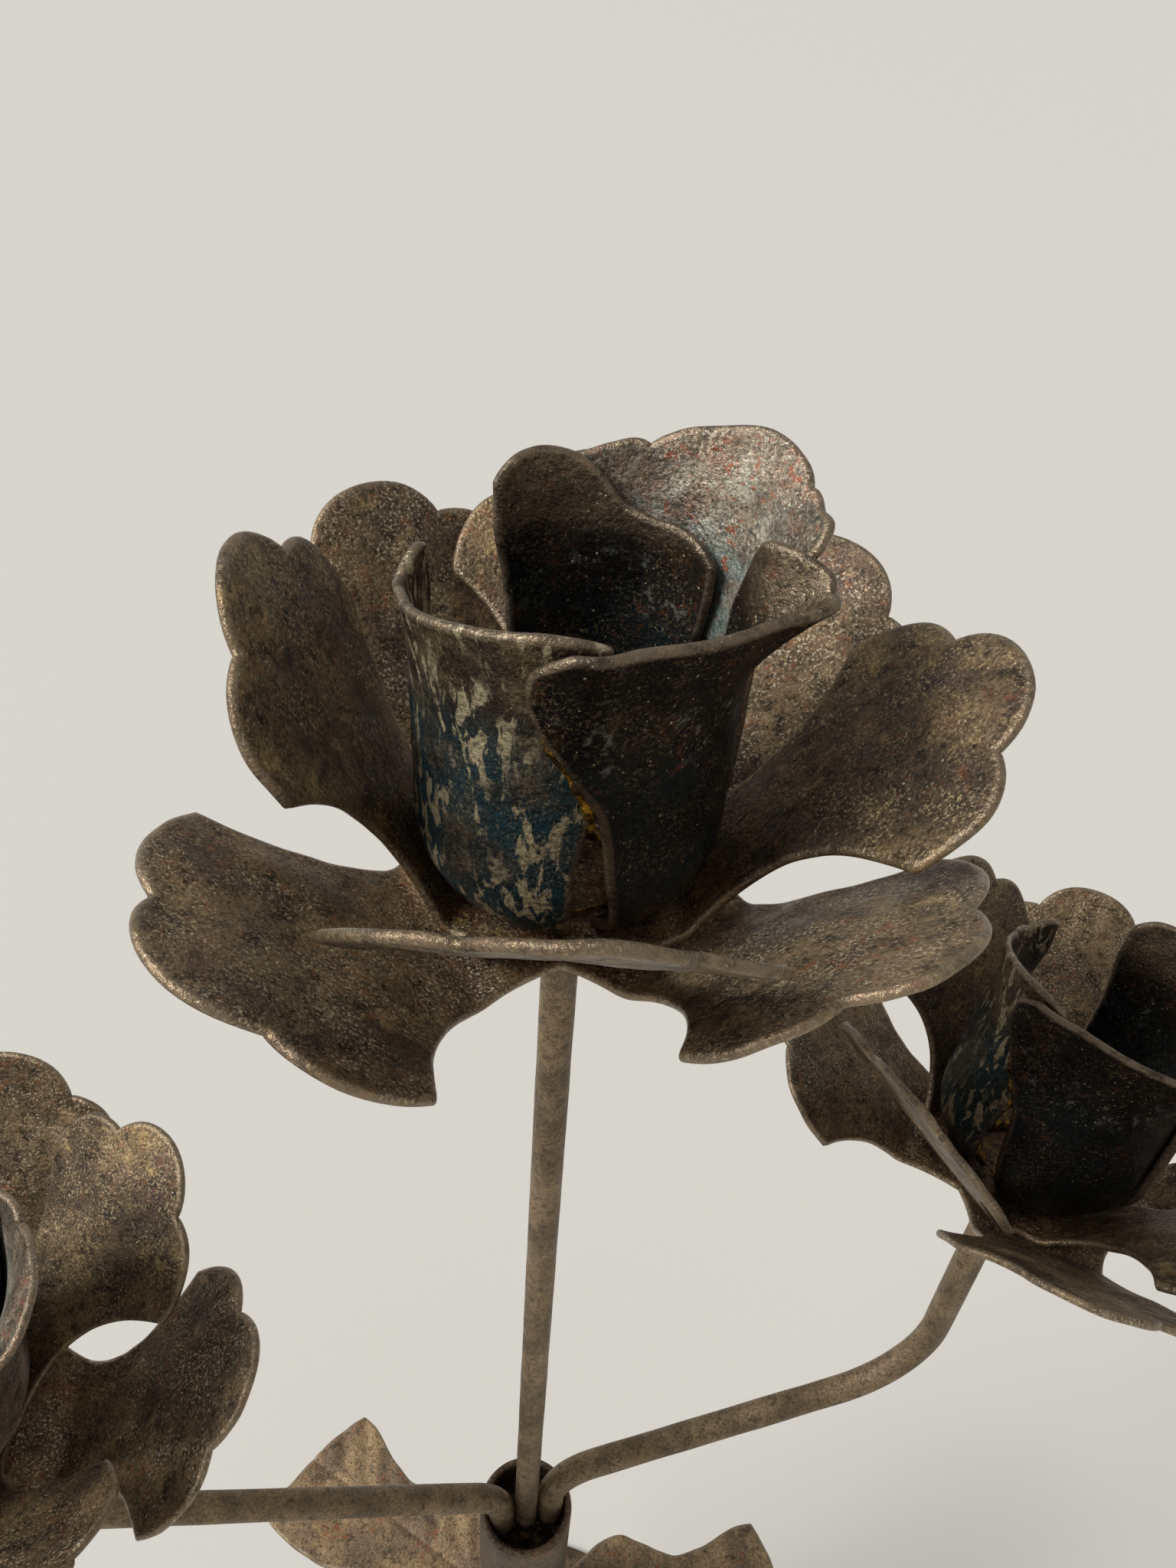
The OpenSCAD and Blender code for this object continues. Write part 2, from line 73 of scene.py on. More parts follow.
class Hand(Enum):
    """Which of the three flowers a piece belongs to."""

    CENTRE = "centre"
    LEFT = "left"
    RIGHT = "right"


def linear(colour: str) -> tuple[float, float, float, float]:
    """Turns an sRGB hex colour into linear RGBA.

    Args:
        colour: six hex digits after a hash.

    Returns:
        Linear red, green, blue and an alpha of one.
    """
    parts = [int(colour[i : i + 2], 16) / 255 for i in (1, 3, 5)]
    low = [c / 12.92 if c <= 0.04045 else ((c + 0.055) / 1.055) ** 2.4 for c in parts]
    return (low[0], low[1], low[2], 1.0)


def add_node(tree: bpy.types.NodeTree, kind: str, links: dict | None = None, **settings) -> bpy.types.Node:
    """Adds a shader node.

    Args:
        tree: the material's node tree.
        kind: the node's type name, without ShaderNode.
        links: values or output sockets by input name or number.
        settings: attributes of the node.

    Returns:
        The new node.
    """
    node = tree.nodes.new("ShaderNode" + kind)
    for key, value in settings.items():
        setattr(node, key, value)
    for key, value in (links or {}).items():
        if isinstance(value, bpy.types.NodeSocket):
            tree.links.new(value, node.inputs[key])
        else:
            node.inputs[key].default_value = value
    return node


def smooth_step(x: np.ndarray, low: float, high: float) -> np.ndarray:
    """Rises from 0 at low to 1 at high, along 3t^2 - 2t^3."""
    t = np.clip((x - low) / (high - low), 0, 1)
    return t * t * (3 - 2 * t)


def eased(x: np.ndarray, knots: tuple) -> np.ndarray:
    """A smooth curve through knots: cubic pieces whose slopes are those of the chords round each knot.

    Args:
        x: where the curve is wanted.
        knots: pairs of place and value, in rising order of place.

    Returns:
        The curve's values, level beyond the ends.
    """
    xs, ys = np.array(knots, float).T
    slope = np.gradient(ys, xs)
    x = np.clip(x, xs[0], xs[-1])
    i = np.clip(np.searchsorted(xs, x, side="right") - 1, 0, len(xs) - 2)
    h = xs[i + 1] - xs[i]
    t = (x - xs[i]) / h
    return (
        (2 * t**3 - 3 * t**2 + 1) * ys[i]
        + (t**3 - 2 * t**2 + t) * h * slope[i]
        + (3 * t**2 - 2 * t**3) * ys[i + 1]
        + (t**3 - t**2) * h * slope[i + 1]
    )


def inside_of(x: np.ndarray, knots: tuple) -> np.ndarray:
    """Whether x lies between the first and last of the knots."""
    return (x >= knots[0][0] - 1e-6) & (x <= knots[-1][0] + 1e-6)


def unit(v: np.ndarray) -> np.ndarray:
    """Vectors along the last axis, made one long."""
    return v / np.maximum(np.linalg.norm(v, axis=-1, keepdims=True), 1e-12)


def hammered(points: np.ndarray, size: float, seed: int, waves: int = 18) -> np.ndarray:
    """An uneven field of about -1 to 1: a sum of cosine waves in seeded directions.

    Args:
        points: places in millimetres, on the last axis.
        size: the usual distance from one hollow to the next.
        seed: picks the directions and phases.
        waves: how many waves are added.

    Returns:
        One value for each place.
    """
    rng = np.random.default_rng(seed)
    direction = unit(rng.normal(size=(waves, points.shape[-1])))
    length = size * rng.uniform(0.6, 1.7, waves)
    phase = rng.uniform(0, 2 * math.pi, waves)
    total = np.cos(points @ (direction * (2 * math.pi / length)[:, None]).T + phase)
    return total.sum(-1) * math.sqrt(2 / waves) * 0.6


@dataclass
class Surface:
    """Vertices and quads of a piece, with what its finish reads at each vertex."""

    points: np.ndarray
    faces: np.ndarray
    rim: np.ndarray
    out: np.ndarray
    inside: np.ndarray

    @staticmethod
    def joined(parts: list["Surface"]) -> "Surface":
        """Puts several surfaces into one, with their faces renumbered.

        Args:
            parts: the surfaces, in order.

        Returns:
            One surface.
        """
        starts = np.cumsum([0] + [len(p.points) for p in parts[:-1]])
        return Surface(
            np.concatenate([p.points for p in parts]),
            np.concatenate([p.faces + s for p, s in zip(parts, starts)]),
            np.concatenate([p.rim for p in parts]),
            np.concatenate([p.out for p in parts]),
            np.concatenate([p.inside for p in parts]),
        )

    def to_object(self, name: str, weld: float = 0.004) -> bpy.types.Object:
        """Makes the mesh object, with its doubles merged and its faces outwards.

        Args:
            name: the piece's name.
            weld: distance in millimetres below which vertices merge.

        Returns:
            The object, at the origin, with its place in its mesh.
        """
        mesh = bpy.data.meshes.new(name)
        mesh.from_pydata((self.points * MM).tolist(), [], self.faces.tolist())
        for key, values in (("rim", self.rim), ("out", self.out), ("inside", self.inside)):
            layer = mesh.attributes.new(key, "FLOAT", "POINT")
            layer.data.foreach_set("value", np.ascontiguousarray(values, np.float32))
        edit = bmesh.new()
        edit.from_mesh(mesh)
        bmesh.ops.remove_doubles(edit, verts=edit.verts, dist=weld * MM)
        bmesh.ops.dissolve_degenerate(edit, edges=edit.edges, dist=weld * MM / 4)
        bmesh.ops.recalc_face_normals(edit, faces=edit.faces)
        edit.to_mesh(mesh)
        edit.free()
        mesh.polygons.foreach_set("use_smooth", np.ones(len(mesh.polygons), bool))
        piece = bpy.data.objects.new(name, mesh)
        bpy.context.scene.collection.objects.link(piece)
        return piece


def grid_faces(rows: int, cols: int, closed_rows: bool = False, closed_cols: bool = False) -> np.ndarray:
    """Quads of a grid of points that are numbered row by row.

    Args:
        rows: rows of points.
        cols: points in a row.
        closed_rows: whether the last row joins the first.
        closed_cols: whether the last point of a row joins the first.

    Returns:
        Four point numbers for each quad.
    """
    i = np.arange(rows if closed_rows else rows - 1)[:, None]
    j = np.arange(cols if closed_cols else cols - 1)[None, :]
    a, b = i * cols + j, (i + 1) % rows * cols + j
    c, d = (i + 1) % rows * cols + (j + 1) % cols, i * cols + (j + 1) % cols
    return np.stack([a, b, c, d], -1).reshape(-1, 4)


def grid_border(rows: int, cols: int) -> np.ndarray:
    """Numbers of the points round a whole grid: first row, last column, last row and first column.

    Args:
        rows: rows of points.
        cols: points in a row.

    Returns:
        Each point number once, in order.
    """
    return np.concatenate(
        [
            np.arange(cols),
            np.arange(1, rows) * cols + cols - 1,
            (rows - 1) * cols + np.arange(cols - 2, -1, -1),
            np.arange(rows - 2, 0, -1) * cols,
        ]
    )


def grid_normals(points: np.ndarray) -> np.ndarray:
    """Unit normals of a grid: the cross product of its row and column directions."""
    return unit(np.cross(np.gradient(points, axis=0), np.gradient(points, axis=1)))


def sheet(
    middle: np.ndarray,
    normal: np.ndarray,
    out: np.ndarray,
    thick: float,
    border: np.ndarray,
    closed: bool,
    end_out: np.ndarray | None = None,
    skip_rows: int = 0,
) -> Surface:
    """A closed piece of sheet metal with a round rim.

    Its two faces are the middle surface moved half the thickness along its normal either way. The rim is half
    a circle round each border point, in the plane of the normal and the direction out of the sheet.

    Args:
        middle: grid of points of the middle surface.
        normal: unit normals of the grid.
        out: a value for each grid point that the finish reads.
        thick: thickness of the sheet.
        border: grid numbers of the points along the rim, in order.
        closed: whether the border runs all the way round.
        end_out: the outward directions at the two ends of an open border.
        skip_rows: rows at the start whose border isn't a rim.

    Returns:
        The surface, open only where the border doesn't run.
    """
    rows, cols = middle.shape[:2]
    count = rows * cols
    half = thick / 2
    lift = (normal * half).reshape(-1, 3)
    faces = grid_faces(rows, cols)
    flat, up = middle.reshape(-1, 3), normal.reshape(-1, 3)
    edge, edge_up = flat[border], up[border]
    if closed:
        along = np.roll(edge, -1, 0) - np.roll(edge, 1, 0)
    else:
        along = np.gradient(edge, axis=0)
    outward = unit(np.cross(along, edge_up))
    centre = middle[skip_rows:].reshape(-1, 3).mean(0)
    if (np.sum((edge - centre) * outward, -1)).sum() < 0:
        outward = -outward
    if end_out is not None:
        outward[0], outward[-1] = end_out
    turn = np.linspace(0, math.pi, RIM_STEPS + 1)[1:-1]
    arc = (
        edge[:, None]
        + edge_up[:, None] * (half * np.cos(turn))[None, :, None]
        + outward[:, None] * (half * np.sin(turn))[None, :, None]
    )
    n, m = len(border), RIM_STEPS - 1
    ring = np.concatenate(
        [border[:, None], 2 * count + np.arange(n * m).reshape(n, m), count + border[:, None]], axis=1
    )
    following = np.roll(ring, -1, 0)
    span = slice(None) if closed else slice(0, n - 1)
    quads = [ring[span, :-1], following[span, :-1], following[span, 1:], ring[span, 1:]]
    sides = np.stack(quads, -1).reshape(-1, 4)
    # The distance of each point from the rim, in parts, to spare memory.
    parts = np.array_split(flat, 24)
    gap = np.concatenate([np.linalg.norm(part[:, None] - edge[None], axis=-1).min(1) for part in parts])
    o = out.reshape(-1)
    return Surface(
        np.concatenate([flat + lift, flat - lift, arc.reshape(-1, 3)]),
        np.concatenate([faces, faces[:, ::-1] + count, sides]),
        np.concatenate([gap, gap, np.full(n * m, ON_RIM)]),
        np.concatenate([o, o, np.repeat(o[border], m)]),
        np.concatenate([np.ones(count), np.zeros(count), np.full(n * m, 0.5)]),
    )


def swept(path: np.ndarray, radius: np.ndarray, sides: int = 28) -> Surface:
    """A round bar: a circle carried along a path, square to it, with a flat disc at either end.

    Args:
        path: points of the bar's axis.
        radius: its radius at each point.
        sides: points of a circle.

    Returns:
        The bar's surface.
    """
    along = unit(np.gradient(path, axis=0))
    start = np.array([0.0, 1.0, 0.0]) if abs(along[0, 1]) < 0.9 else np.array([1.0, 0.0, 0.0])
    side = unit(np.cross(start, along))
    other = np.cross(along, side)
    turn = np.linspace(0, 2 * math.pi, sides, endpoint=False)
    rings = (
        path[:, None]
        + side[:, None] * (radius[:, None] * np.cos(turn))[..., None]
        + other[:, None] * (radius[:, None] * np.sin(turn))[..., None]
    )
    shut = np.repeat(path[[0, -1], None], sides, axis=1)
    rings = np.concatenate([shut[:1], rings, shut[1:]])
    count = rings.shape[0] * sides
    length = np.concatenate([[0], np.linspace(0, 1, len(path)), [1]])
    return Surface(
        rings.reshape(-1, 3),
        grid_faces(rings.shape[0], sides, closed_cols=True),
        np.full(count, NO_RIM),
        np.repeat(length, sides),
        np.zeros(count),
    )


def turned(
    profile: np.ndarray, sides: int, closed: bool, dent: float = 0.0, size: float = 9.0, seed: int = 1
) -> Surface:
    """A turned piece: a profile of radius and height carried round the vertical axis.

    Args:
        profile: points of radius and height, along the outside.
        sides: steps round the axis.
        closed: whether the profile closes on itself. It starts and ends on the axis otherwise.
        dent: depth of the hammer marks.
        size: distance between hammer marks.
        seed: picks the marks.

    Returns:
        The piece's surface.
    """
    turn = np.linspace(0, 2 * math.pi, sides, endpoint=False)
    r, z = profile.T
    points = np.stack([r[:, None] * np.cos(turn), r[:, None] * np.sin(turn), np.repeat(z[:, None], sides, 1)], -1)
    if dent:
        normal = grid_normals(np.concatenate([points, points[:, :1]], axis=1))[:, :-1]
        points = points + normal * (dent * np.minimum(hammered(points, size, seed), 0.6))[..., None]
    count = points.shape[0] * sides
    return Surface(
        points.reshape(-1, 3),
        grid_faces(points.shape[0], sides, closed_rows=closed, closed_cols=True),
        np.full(count, NO_RIM),
        np.repeat(np.linspace(0, 1, len(profile)), sides),
        np.zeros(count),
    )


class Field(Enum):
    """What a grade reads on the surface. All but NOISE are attributes of the piece's own mesh."""

    NOISE = "noise"
    RIM = "rim"
    OUT = "out"
    INSIDE = "inside"


@dataclass(frozen=True)
class Grade:
    """A share that goes from least to most, along a smooth step, as a field goes from low to high.

    The step falls where low lies above high. RIM is in millimetres from the cut edge, OUT runs from 0 at the
    petal's root to 1, and INSIDE is 1 on the upper face. NOISE is about 0.5 on average, with patches whose
    usual distance is size in millimetres. Its slant turns it, and its squeeze below 1 draws the patches out.
    """

    field: Field
    low: float
    high: float
    least: float = 0.0
    most: float = 1.0
    size: float = 1.0
    detail: float = 4.0
    rough: float = 0.6
    warp: float = 0.0
    slant: tuple[float, float, float] = (0.0, 0.0, 0.0)
    squeeze: tuple[float, float, float] = (1.0, 1.0, 1.0)

    def share(self, tree: bpy.types.NodeTree, mm: bpy.types.NodeSocket) -> bpy.types.NodeSocket:
        """Adds the grade's nodes.

        Args:
            tree: the material's node tree.
            mm: Object coordinates in millimetres.

        Returns:
            The share.
        """
        if self.field is Field.NOISE:
            place = add_node(tree, "Mapping", {"Vector": mm, "Rotation": self.slant, "Scale": self.squeeze})
            pattern = {"Detail": self.detail, "Roughness": self.rough, "Distortion": self.warp}
            noise = add_node(tree, "TexNoise", {"Vector": place.outputs[0], "Scale": 1 / self.size, **pattern})
            value = noise.outputs["Fac"]
        else:
            value = add_node(tree, "Attribute", attribute_name=self.field.value).outputs["Fac"]
        ends = {"From Min": self.low, "From Max": self.high, "To Min": self.least, "To Max": self.most}
        step = add_node(tree, "MapRange", {"Value": value, **ends}, interpolation_type="SMOOTHSTEP")
        return step.outputs["Result"]


@dataclass(frozen=True)
class Dust:
    """Lone round grains, at most one in each cell of the given size in millimetres.

    radius is a grain's, in millimetres, chance the share of cells that hold one, and most how far it covers.
    """

    size: float
    radius: float
    chance: float
    most: float = 0.8

    def share(self, tree: bpy.types.NodeTree, mm: bpy.types.NodeSocket) -> bpy.types.NodeSocket:
        """Adds the grains' nodes.

        Args:
            tree: the material's node tree.
            mm: Object coordinates in millimetres.

        Returns:
            The share that the grains cover.
        """
        cells = add_node(tree, "TexVoronoi", {"Vector": mm, "Scale": 1 / self.size, "Randomness": 1.0})
        draw = add_node(tree, "SeparateColor", {"Color": cells.outputs["Color"]}).outputs[0]
        edge = self.radius / self.size
        ends = {"From Min": edge, "From Max": edge * 0.5, "To Max": self.most}
        grain = add_node(tree, "MapRange", {"Value": cells.outputs["Distance"], **ends}).outputs["Result"]
        drawn = add_node(tree, "Math", {0: draw, 1: 1 - self.chance}, operation="GREATER_THAN").outputs[0]
        return add_node(tree, "Math", {0: grain, 1: drawn}, operation="MULTIPLY").outputs[0]


@dataclass(frozen=True)
class Layer:
    """A colour that lies over those before it, as far as the product of its grades goes."""

    colour: str
    grades: tuple[Grade | Dust, ...]

    def over(
        self, tree: bpy.types.NodeTree, mm: bpy.types.NodeSocket, below: bpy.types.NodeSocket | tuple[float, ...]
    ) -> bpy.types.NodeSocket:
        """Adds the layer's nodes.

        Args:
            tree: the material's node tree.
            mm: Object coordinates in millimetres.
            below: the colour so far.

        Returns:
            The colour with this layer over it.
        """
        share = self.grades[0].share(tree, mm)
        for grade in self.grades[1:]:
            both = {0: share, 1: grade.share(tree, mm)}
            share = add_node(tree, "Math", both, operation="MULTIPLY").outputs[0]
        colours = {0: share, 6: below, 7: linear(self.colour)}
        return add_node(tree, "Mix", colours, data_type="RGBA").outputs[2]


def clouds(colour: str, size: float, low: float, high: float, most: float = 0.9) -> Layer:
    """Soft-edged patches of oxide.

    Args:
        colour: their colour.
        size: their usual distance in millimetres.
        low: the noise's value where they begin.
        high: its value where they are full.
        most: how far they cover.

    Returns:
        The layer.
    """
    return Layer(colour, (Grade(Field.NOISE, low, high, 0.0, most, size, 7, 0.66, 0.3),))


def band(colour: str, low: float, full: float, fade: float, end: float, most: float) -> Layer:
    """The tint that a torch leaves across a piece, broken up every 6 mm.

    Args:
        colour: its colour.
        low: the value of OUT where it begins.
        full: where it is full.
        fade: where it begins to fade.
        end: where it is gone.
        most: how far it covers.

    Returns:
        The layer.
    """
    return Layer(
        colour,
        (
            Grade(Field.OUT, low, full),
            Grade(Field.OUT, end, fade),
            Grade(Field.NOISE, 0.34, 0.6, 0.3 * most, most, 6.0),
        ),
    )


def freckles(colour: str, most: float) -> Layer:
    """Rust freckles 1.2 mm apart, gathered every 7 mm.

    Args:
        colour: their colour.
        most: how far they cover.

    Returns:
        The layer.
    """
    freckle = Grade(Field.NOISE, 0.55, 0.63, 0, most, 1.2, 4, 0.7)
    return Layer(colour, (freckle, Grade(Field.NOISE, 0.46, 0.58, size=7.0, detail=3)))


def flecks(colour: str, most: float) -> Layer:
    """Bright points of wax and dust 0.32 mm apart, drawn coarser than the real ones so that they show.

    Args:
        colour: their colour.
        most: how far they cover.

    Returns:
        The layer.
    """
    fleck = Grade(Field.NOISE, 0.52, 0.64, 0, most, 0.32, 3, 0.7)
    return Layer(colour, (fleck, Grade(Field.NOISE, 0.36, 0.62, 0.15, 1.0, 4.5)))


# Real sizes in millimetres of what the rolls, the hammer and the scale leave on sheet and bar.
GRAIN_SIZE, PIT_SIZE, HOLLOW_SIZE = 0.42, 1.6, 4.2
# The skin in the pits and between the grains, nearly black.
PITS = Layer("#17120e", (Grade(Field.NOISE, 0.5, 0.34, 0, 0.8, PIT_SIZE, 6, 0.74),))
GRAIN = Layer("#0d0b09", (Grade(Field.NOISE, 0.56, 0.34, 0, 0.6, GRAIN_SIZE, 3, 0.66),))
# Grains of dust 0.3 and 0.17 mm across.
COARSE_DUST = Layer("#cbbb9a", (Dust(1.3, 0.15, 0.4, 0.9),))
FINE_DUST = Layer("#b9a988", (Dust(0.62, 0.085, 0.35, 0.9),))
# Holds a layer to the side of a rolled petal that faces the candle.
INNER_SIDE = Grade(Field.INSIDE, 0.4, 0.9)
# What the torch and the filler left where a petal leaves the cup: rust red, then gold.
SCORCH = Layer("#6e3f2b", (Grade(Field.OUT, 0.4, 0.02), Grade(Field.NOISE, 0.46, 0.6, 0, 0.75, 3.0)))
GOLD = Layer("#8d7436", (Grade(Field.OUT, 0.55, 0.1), Grade(Field.NOISE, 0.52, 0.64, 0, 0.75, 2.2, 5)))


def start_material(name: str) -> tuple[bpy.types.Material, bpy.types.NodeSocket]:
    """Starts a material whose patterns lie on the object in millimetres.

    Args:
        name: the material's name.

    Returns:
        The material, and the output socket of its coordinates.
    """
    material = bpy.data.materials.new(name)
    material.use_nodes = True
    tree = material.node_tree
    tree.nodes.clear()
    place = add_node(tree, "TexCoord").outputs["Object"]
    return material, add_node(tree, "Mapping", {"Vector": place, "Scale": (1 / MM, 1 / MM, 1 / MM)}).outputs[0]


@dataclass(frozen=True)
class Patina:
    """Sheet and bar of mild steel, blackened by the torch and waxed, never painted.

    The eye sees a dull brown-black oxide in soft clouds, warmer where the flame was short, a heat tint across
    a band of the sheet, rust freckles, steel worn bare along cut edges, and dust that catches the light.
    bare is the colour of the worn steel, over bare_width from the edge, and bare_cover how far it covers.
    relief is the depth of grain, pits and hollows in millimetres.
    """

    name: str
    ground: str
    layers: tuple[Layer, ...]
    bare: str = "#8f7d66"
    bare_width: float = 0.3
    bare_cover: float = 0.55
    metallic: float = 0.6
    rough: float = 0.5
    relief: float = 0.16

    def build(self) -> bpy.types.Material:
        """Builds the material: its layers, the worn rim over them, and the relief of grain and pits.

        Returns:
            The material.
        """
        material, mm = start_material(self.name)
        tree = material.node_tree
        colour = linear(self.ground)
        rim = Layer(
            self.bare,
            (
                Grade(Field.RIM, self.bare_width, -0.1, 0.0, self.bare_cover),
                Grade(Field.NOISE, 0.36, 0.56, 0.25, 1.0, 2.4, 5, 0.7),
            ),
        )
        for layer in (*self.layers, rim):
            colour = layer.over(tree, mm, colour)
        blotch = Grade(Field.NOISE, 0.3, 0.7, self.rough - 0.1, self.rough + 0.14, 5.0, 8).share(tree, mm)
        burnish = Grade(Field.RIM, 0.0, 0.5, 0.62, 1.0).share(tree, mm)
        roughness = add_node(tree, "Math", {0: blotch, 1: burnish}, operation="MULTIPLY").outputs[0]
        height = Grade(Field.NOISE, 0.2, 0.8, 0.0, 0.4, GRAIN_SIZE, 3, 0.66).share(tree, mm)
        for size, depth in ((PIT_SIZE, 0.9), (HOLLOW_SIZE, 0.8)):
            mark = Grade(Field.NOISE, 0.25, 0.75, 0.0, depth, size, 5, 0.7).share(tree, mm)
            height = add_node(tree, "Math", {0: height, 1: mark}, operation="ADD").outputs[0]
        bump = add_node(tree, "Bump", {"Height": height, "Strength": 0.75, "Distance": self.relief * MM})
        skin = {"Roughness": roughness, "Metallic": self.metallic, "Normal": bump.outputs[0]}
        shader = add_node(tree, "BsdfPrincipled", {"Base Color": colour, **skin})
        add_node(tree, "OutputMaterial", {"Surface": shader.outputs[0]})
        return material


@dataclass(frozen=True)
class Braze:
    """Brass filler as it froze: a lumpy yellow bead, tarnished and dusty between its ripples.

    lump is the distance of the ripples and relief their depth, in millimetres.
    """

    name: str = "brass_braze"
    fresh: str = "#b8882c"
    tarnish: str = "#4a3a22"
    lump: float = 0.9
    relief: float = 0.12

    def build(self) -> bpy.types.Material:
        """Builds the material: fresh brass on the ripples, tarnish between them.

        Returns:
            The material.
        """
        material, mm = start_material(self.name)
        tree = material.node_tree
        ripple = Grade(Field.NOISE, 0.46, 0.64, size=self.lump, detail=5, rough=0.65)
        colour = Layer(self.fresh, (ripple,)).over(tree, mm, linear(self.tarnish))
        height = ripple.share(tree, mm)
        bump = add_node(tree, "Bump", {"Height": height, "Strength": 0.7, "Distance": self.relief * MM})
        skin = {"Roughness": 0.42, "Metallic": 0.85, "Normal": bump.outputs[0]}
        shader = add_node(tree, "BsdfPrincipled", {"Base Color": colour, **skin})
        add_node(tree, "OutputMaterial", {"Surface": shader.outputs[0]})
        return material


class Finish(Enum):
    """The finishes of the candle holder."""

    # Mild steel sheet, hammered, browned over the torch and waxed: warm clouds of oxide under pale dust.
    PETAL = Patina(
        "browned_sheet_steel",
        "#60503f",
        (
            clouds("#957c5b", 12.0, 0.38, 0.6),
            clouds("#bb9e70", 4.6, 0.53, 0.72, 0.8),
            clouds("#624c43", 8.0, 0.52, 0.62, 0.6),
            clouds("#241b14", 3.4, 0.46, 0.32, 0.8),
            SCORCH,
            PITS,
            GRAIN,
            freckles("#8f5632", 0.65),
            flecks("#d6c6a6", 0.9),
            COARSE_DUST,
            FINE_DUST,
        ),
    )
    # The same sheet closer to the flame: smoky and darker, with rust red and gold where filler was melted.
    UPPER = Patina(
        "smoked_sheet_steel",
        "#524233",
        (
            clouds("#866f4e", 11.0, 0.4, 0.62),
            clouds("#bd9e68", 4.4, 0.54, 0.72, 0.8),
            clouds("#57443d", 7.5, 0.52, 0.62, 0.6),
            clouds("#1f1812", 3.2, 0.47, 0.32, 0.8),
            SCORCH,
            GOLD,
            PITS,
            GRAIN,
            freckles("#8a4b2c", 0.35),
            flecks("#c2ae84", 0.75),
            COARSE_DUST,
            FINE_DUST,
        ),
    )
    # Mild steel sheet held in the flame: a band of deep blue with bright scrapes on it, and brown above.
    BLUED = Patina(
        "heat_blued_steel",
        "#40362a",
        (
            clouds("#726147", 4.5, 0.42, 0.6, 0.85),
            band("#244550", 0.0, 0.06, 0.6, 0.86, 0.97),
            clouds("#121c1f", 4.0, 0.44, 0.32, 0.6),
            Layer(
                "#cdbf9b",
                (
                    Grade(
                        *(Field.NOISE, 0.52, 0.59, 0.0, 0.9, 1.2, 5, 0.58, 0.6),
                        slant=(0.5, 0.4, 0.0),
                        squeeze=(1.0, 1.0, 0.36),
                    ),
                    Grade(Field.NOISE, 0.4, 0.54, 0.1, 1.0, 6.0, 3),
                ),
            ),
            GRAIN,
            flecks("#a79878", 0.5),
            FINE_DUST,
        ),
        rough=0.42,
    )
    # Hot steel sheet quenched in oil, nearly black: partly its own oil-black and partly painted shade, on the
    # outer face that turns from the key and on the inner face down in the cup. Smoother, with a bluish tint and a
    # lip rubbed grey.
    OILED_AND_SHADED = Patina(
        "oil_black_and_painted_shade_steel",
        # Nearly black ground: the steel's own dark oxide with painted shade over it.
        "#14100d",
        (
            clouds("#2b231a", 7.0, 0.42, 0.64),
            clouds("#5d4a2c", 4.5, 0.58, 0.74, 0.75),
            band("#182d34", 0.1, 0.3, 0.55, 0.85, 0.6),
            Layer(
                "#72614c",
                (Grade(Field.OUT, 0.84, 0.96), INNER_SIDE, Grade(Field.NOISE, 0.3, 0.6, 0.4, 0.9, 3.0)),
            ),
            Layer(
                "#8d8f86",
                (
                    Grade(Field.OUT, 0.62, 0.7),
                    Grade(Field.OUT, 0.86, 0.76),
                    Grade(Field.NOISE, 0.58, 0.66, 0, 0.7, 1.8, 5),
                ),
            ),
            GRAIN,
            freckles("#6d3d24", 0.5),
            flecks("#99855e", 0.45),
            COARSE_DUST,
            Layer("#d2c4a2", (Dust(0.7, 0.1, 0.4, 1.0),)),
        ),
        rough=0.4,
    )
    # Steel sheet, brown along its rim. On the side of the candle a dry, pale grey-green away from the rim: partly
    # the scale's own colour and partly painted light where the key falls on the inner face. Lower down that face,
    # near-black painted shade in the cup.
    PALE = Patina(
        "scale_with_painted_light_and_shade_steel",
        "#5d4d40",
        (
            clouds("#88745e", 9.0, 0.4, 0.62),
            clouds("#86634c", 4.0, 0.52, 0.66, 0.85),
            clouds("#2a211b", 3.4, 0.46, 0.34, 0.65),
            PITS,
            # Pale grey-green on the inner face: the scale's colour, with painted light where the key falls.
            Layer(
                "#a8a391",
                (
                    Grade(Field.NOISE, 0.42, 0.62, 0.0, 0.85, 6.0, 8, 0.72, 0.2),
                    Grade(Field.RIM, 0.8, 6.0, 0.1, 1.0),
                    INNER_SIDE,
                ),
            ),
            Layer(
                "#7c9490",
                (Grade(Field.OUT, 1.05, 0.8), INNER_SIDE, Grade(Field.NOISE, 0.4, 0.6, 0.1, 0.7, 3.5, 6)),
            ),
            # Near black on the lower inner face: painted shade down in the cup.
            Layer("#14100d", (Grade(Field.OUT, 0.72, 0.5), INNER_SIDE)),
            GRAIN,
            freckles("#8b4a2e", 0.9),
            flecks("#d3cbb3", 0.6),
            FINE_DUST,
        ),
    )
    # Drawn mild steel bar: a lighter, even brown with fine pits.
    ROD = Patina(
        "drawn_steel_bar",
        "#6e5c46",
        (
            clouds("#907a5c", 8.0, 0.4, 0.62),
            clouds("#ab926a", 4.0, 0.55, 0.75, 0.8),
            Layer("#4a3c2e", PITS.grades),
            Layer("#3a2f25", GRAIN.grades),
            flecks("#b3a282", 0.4),
        ),
    )
    # Steel tube and forged plate, blackened: dark, pitted and dusty, with a few rust freckles.
    TUBE = Patina(
        "blackened_steel_tube",
        "#4c3f31",
        (
            clouds("#75624a", 13.0, 0.4, 0.62),
            clouds("#8a7350", 5.0, 0.55, 0.75, 0.8),
            PITS,
            GRAIN,
            freckles("#84482a", 0.6),
            flecks("#a08f70", 0.5),
            FINE_DUST,
        ),
    )
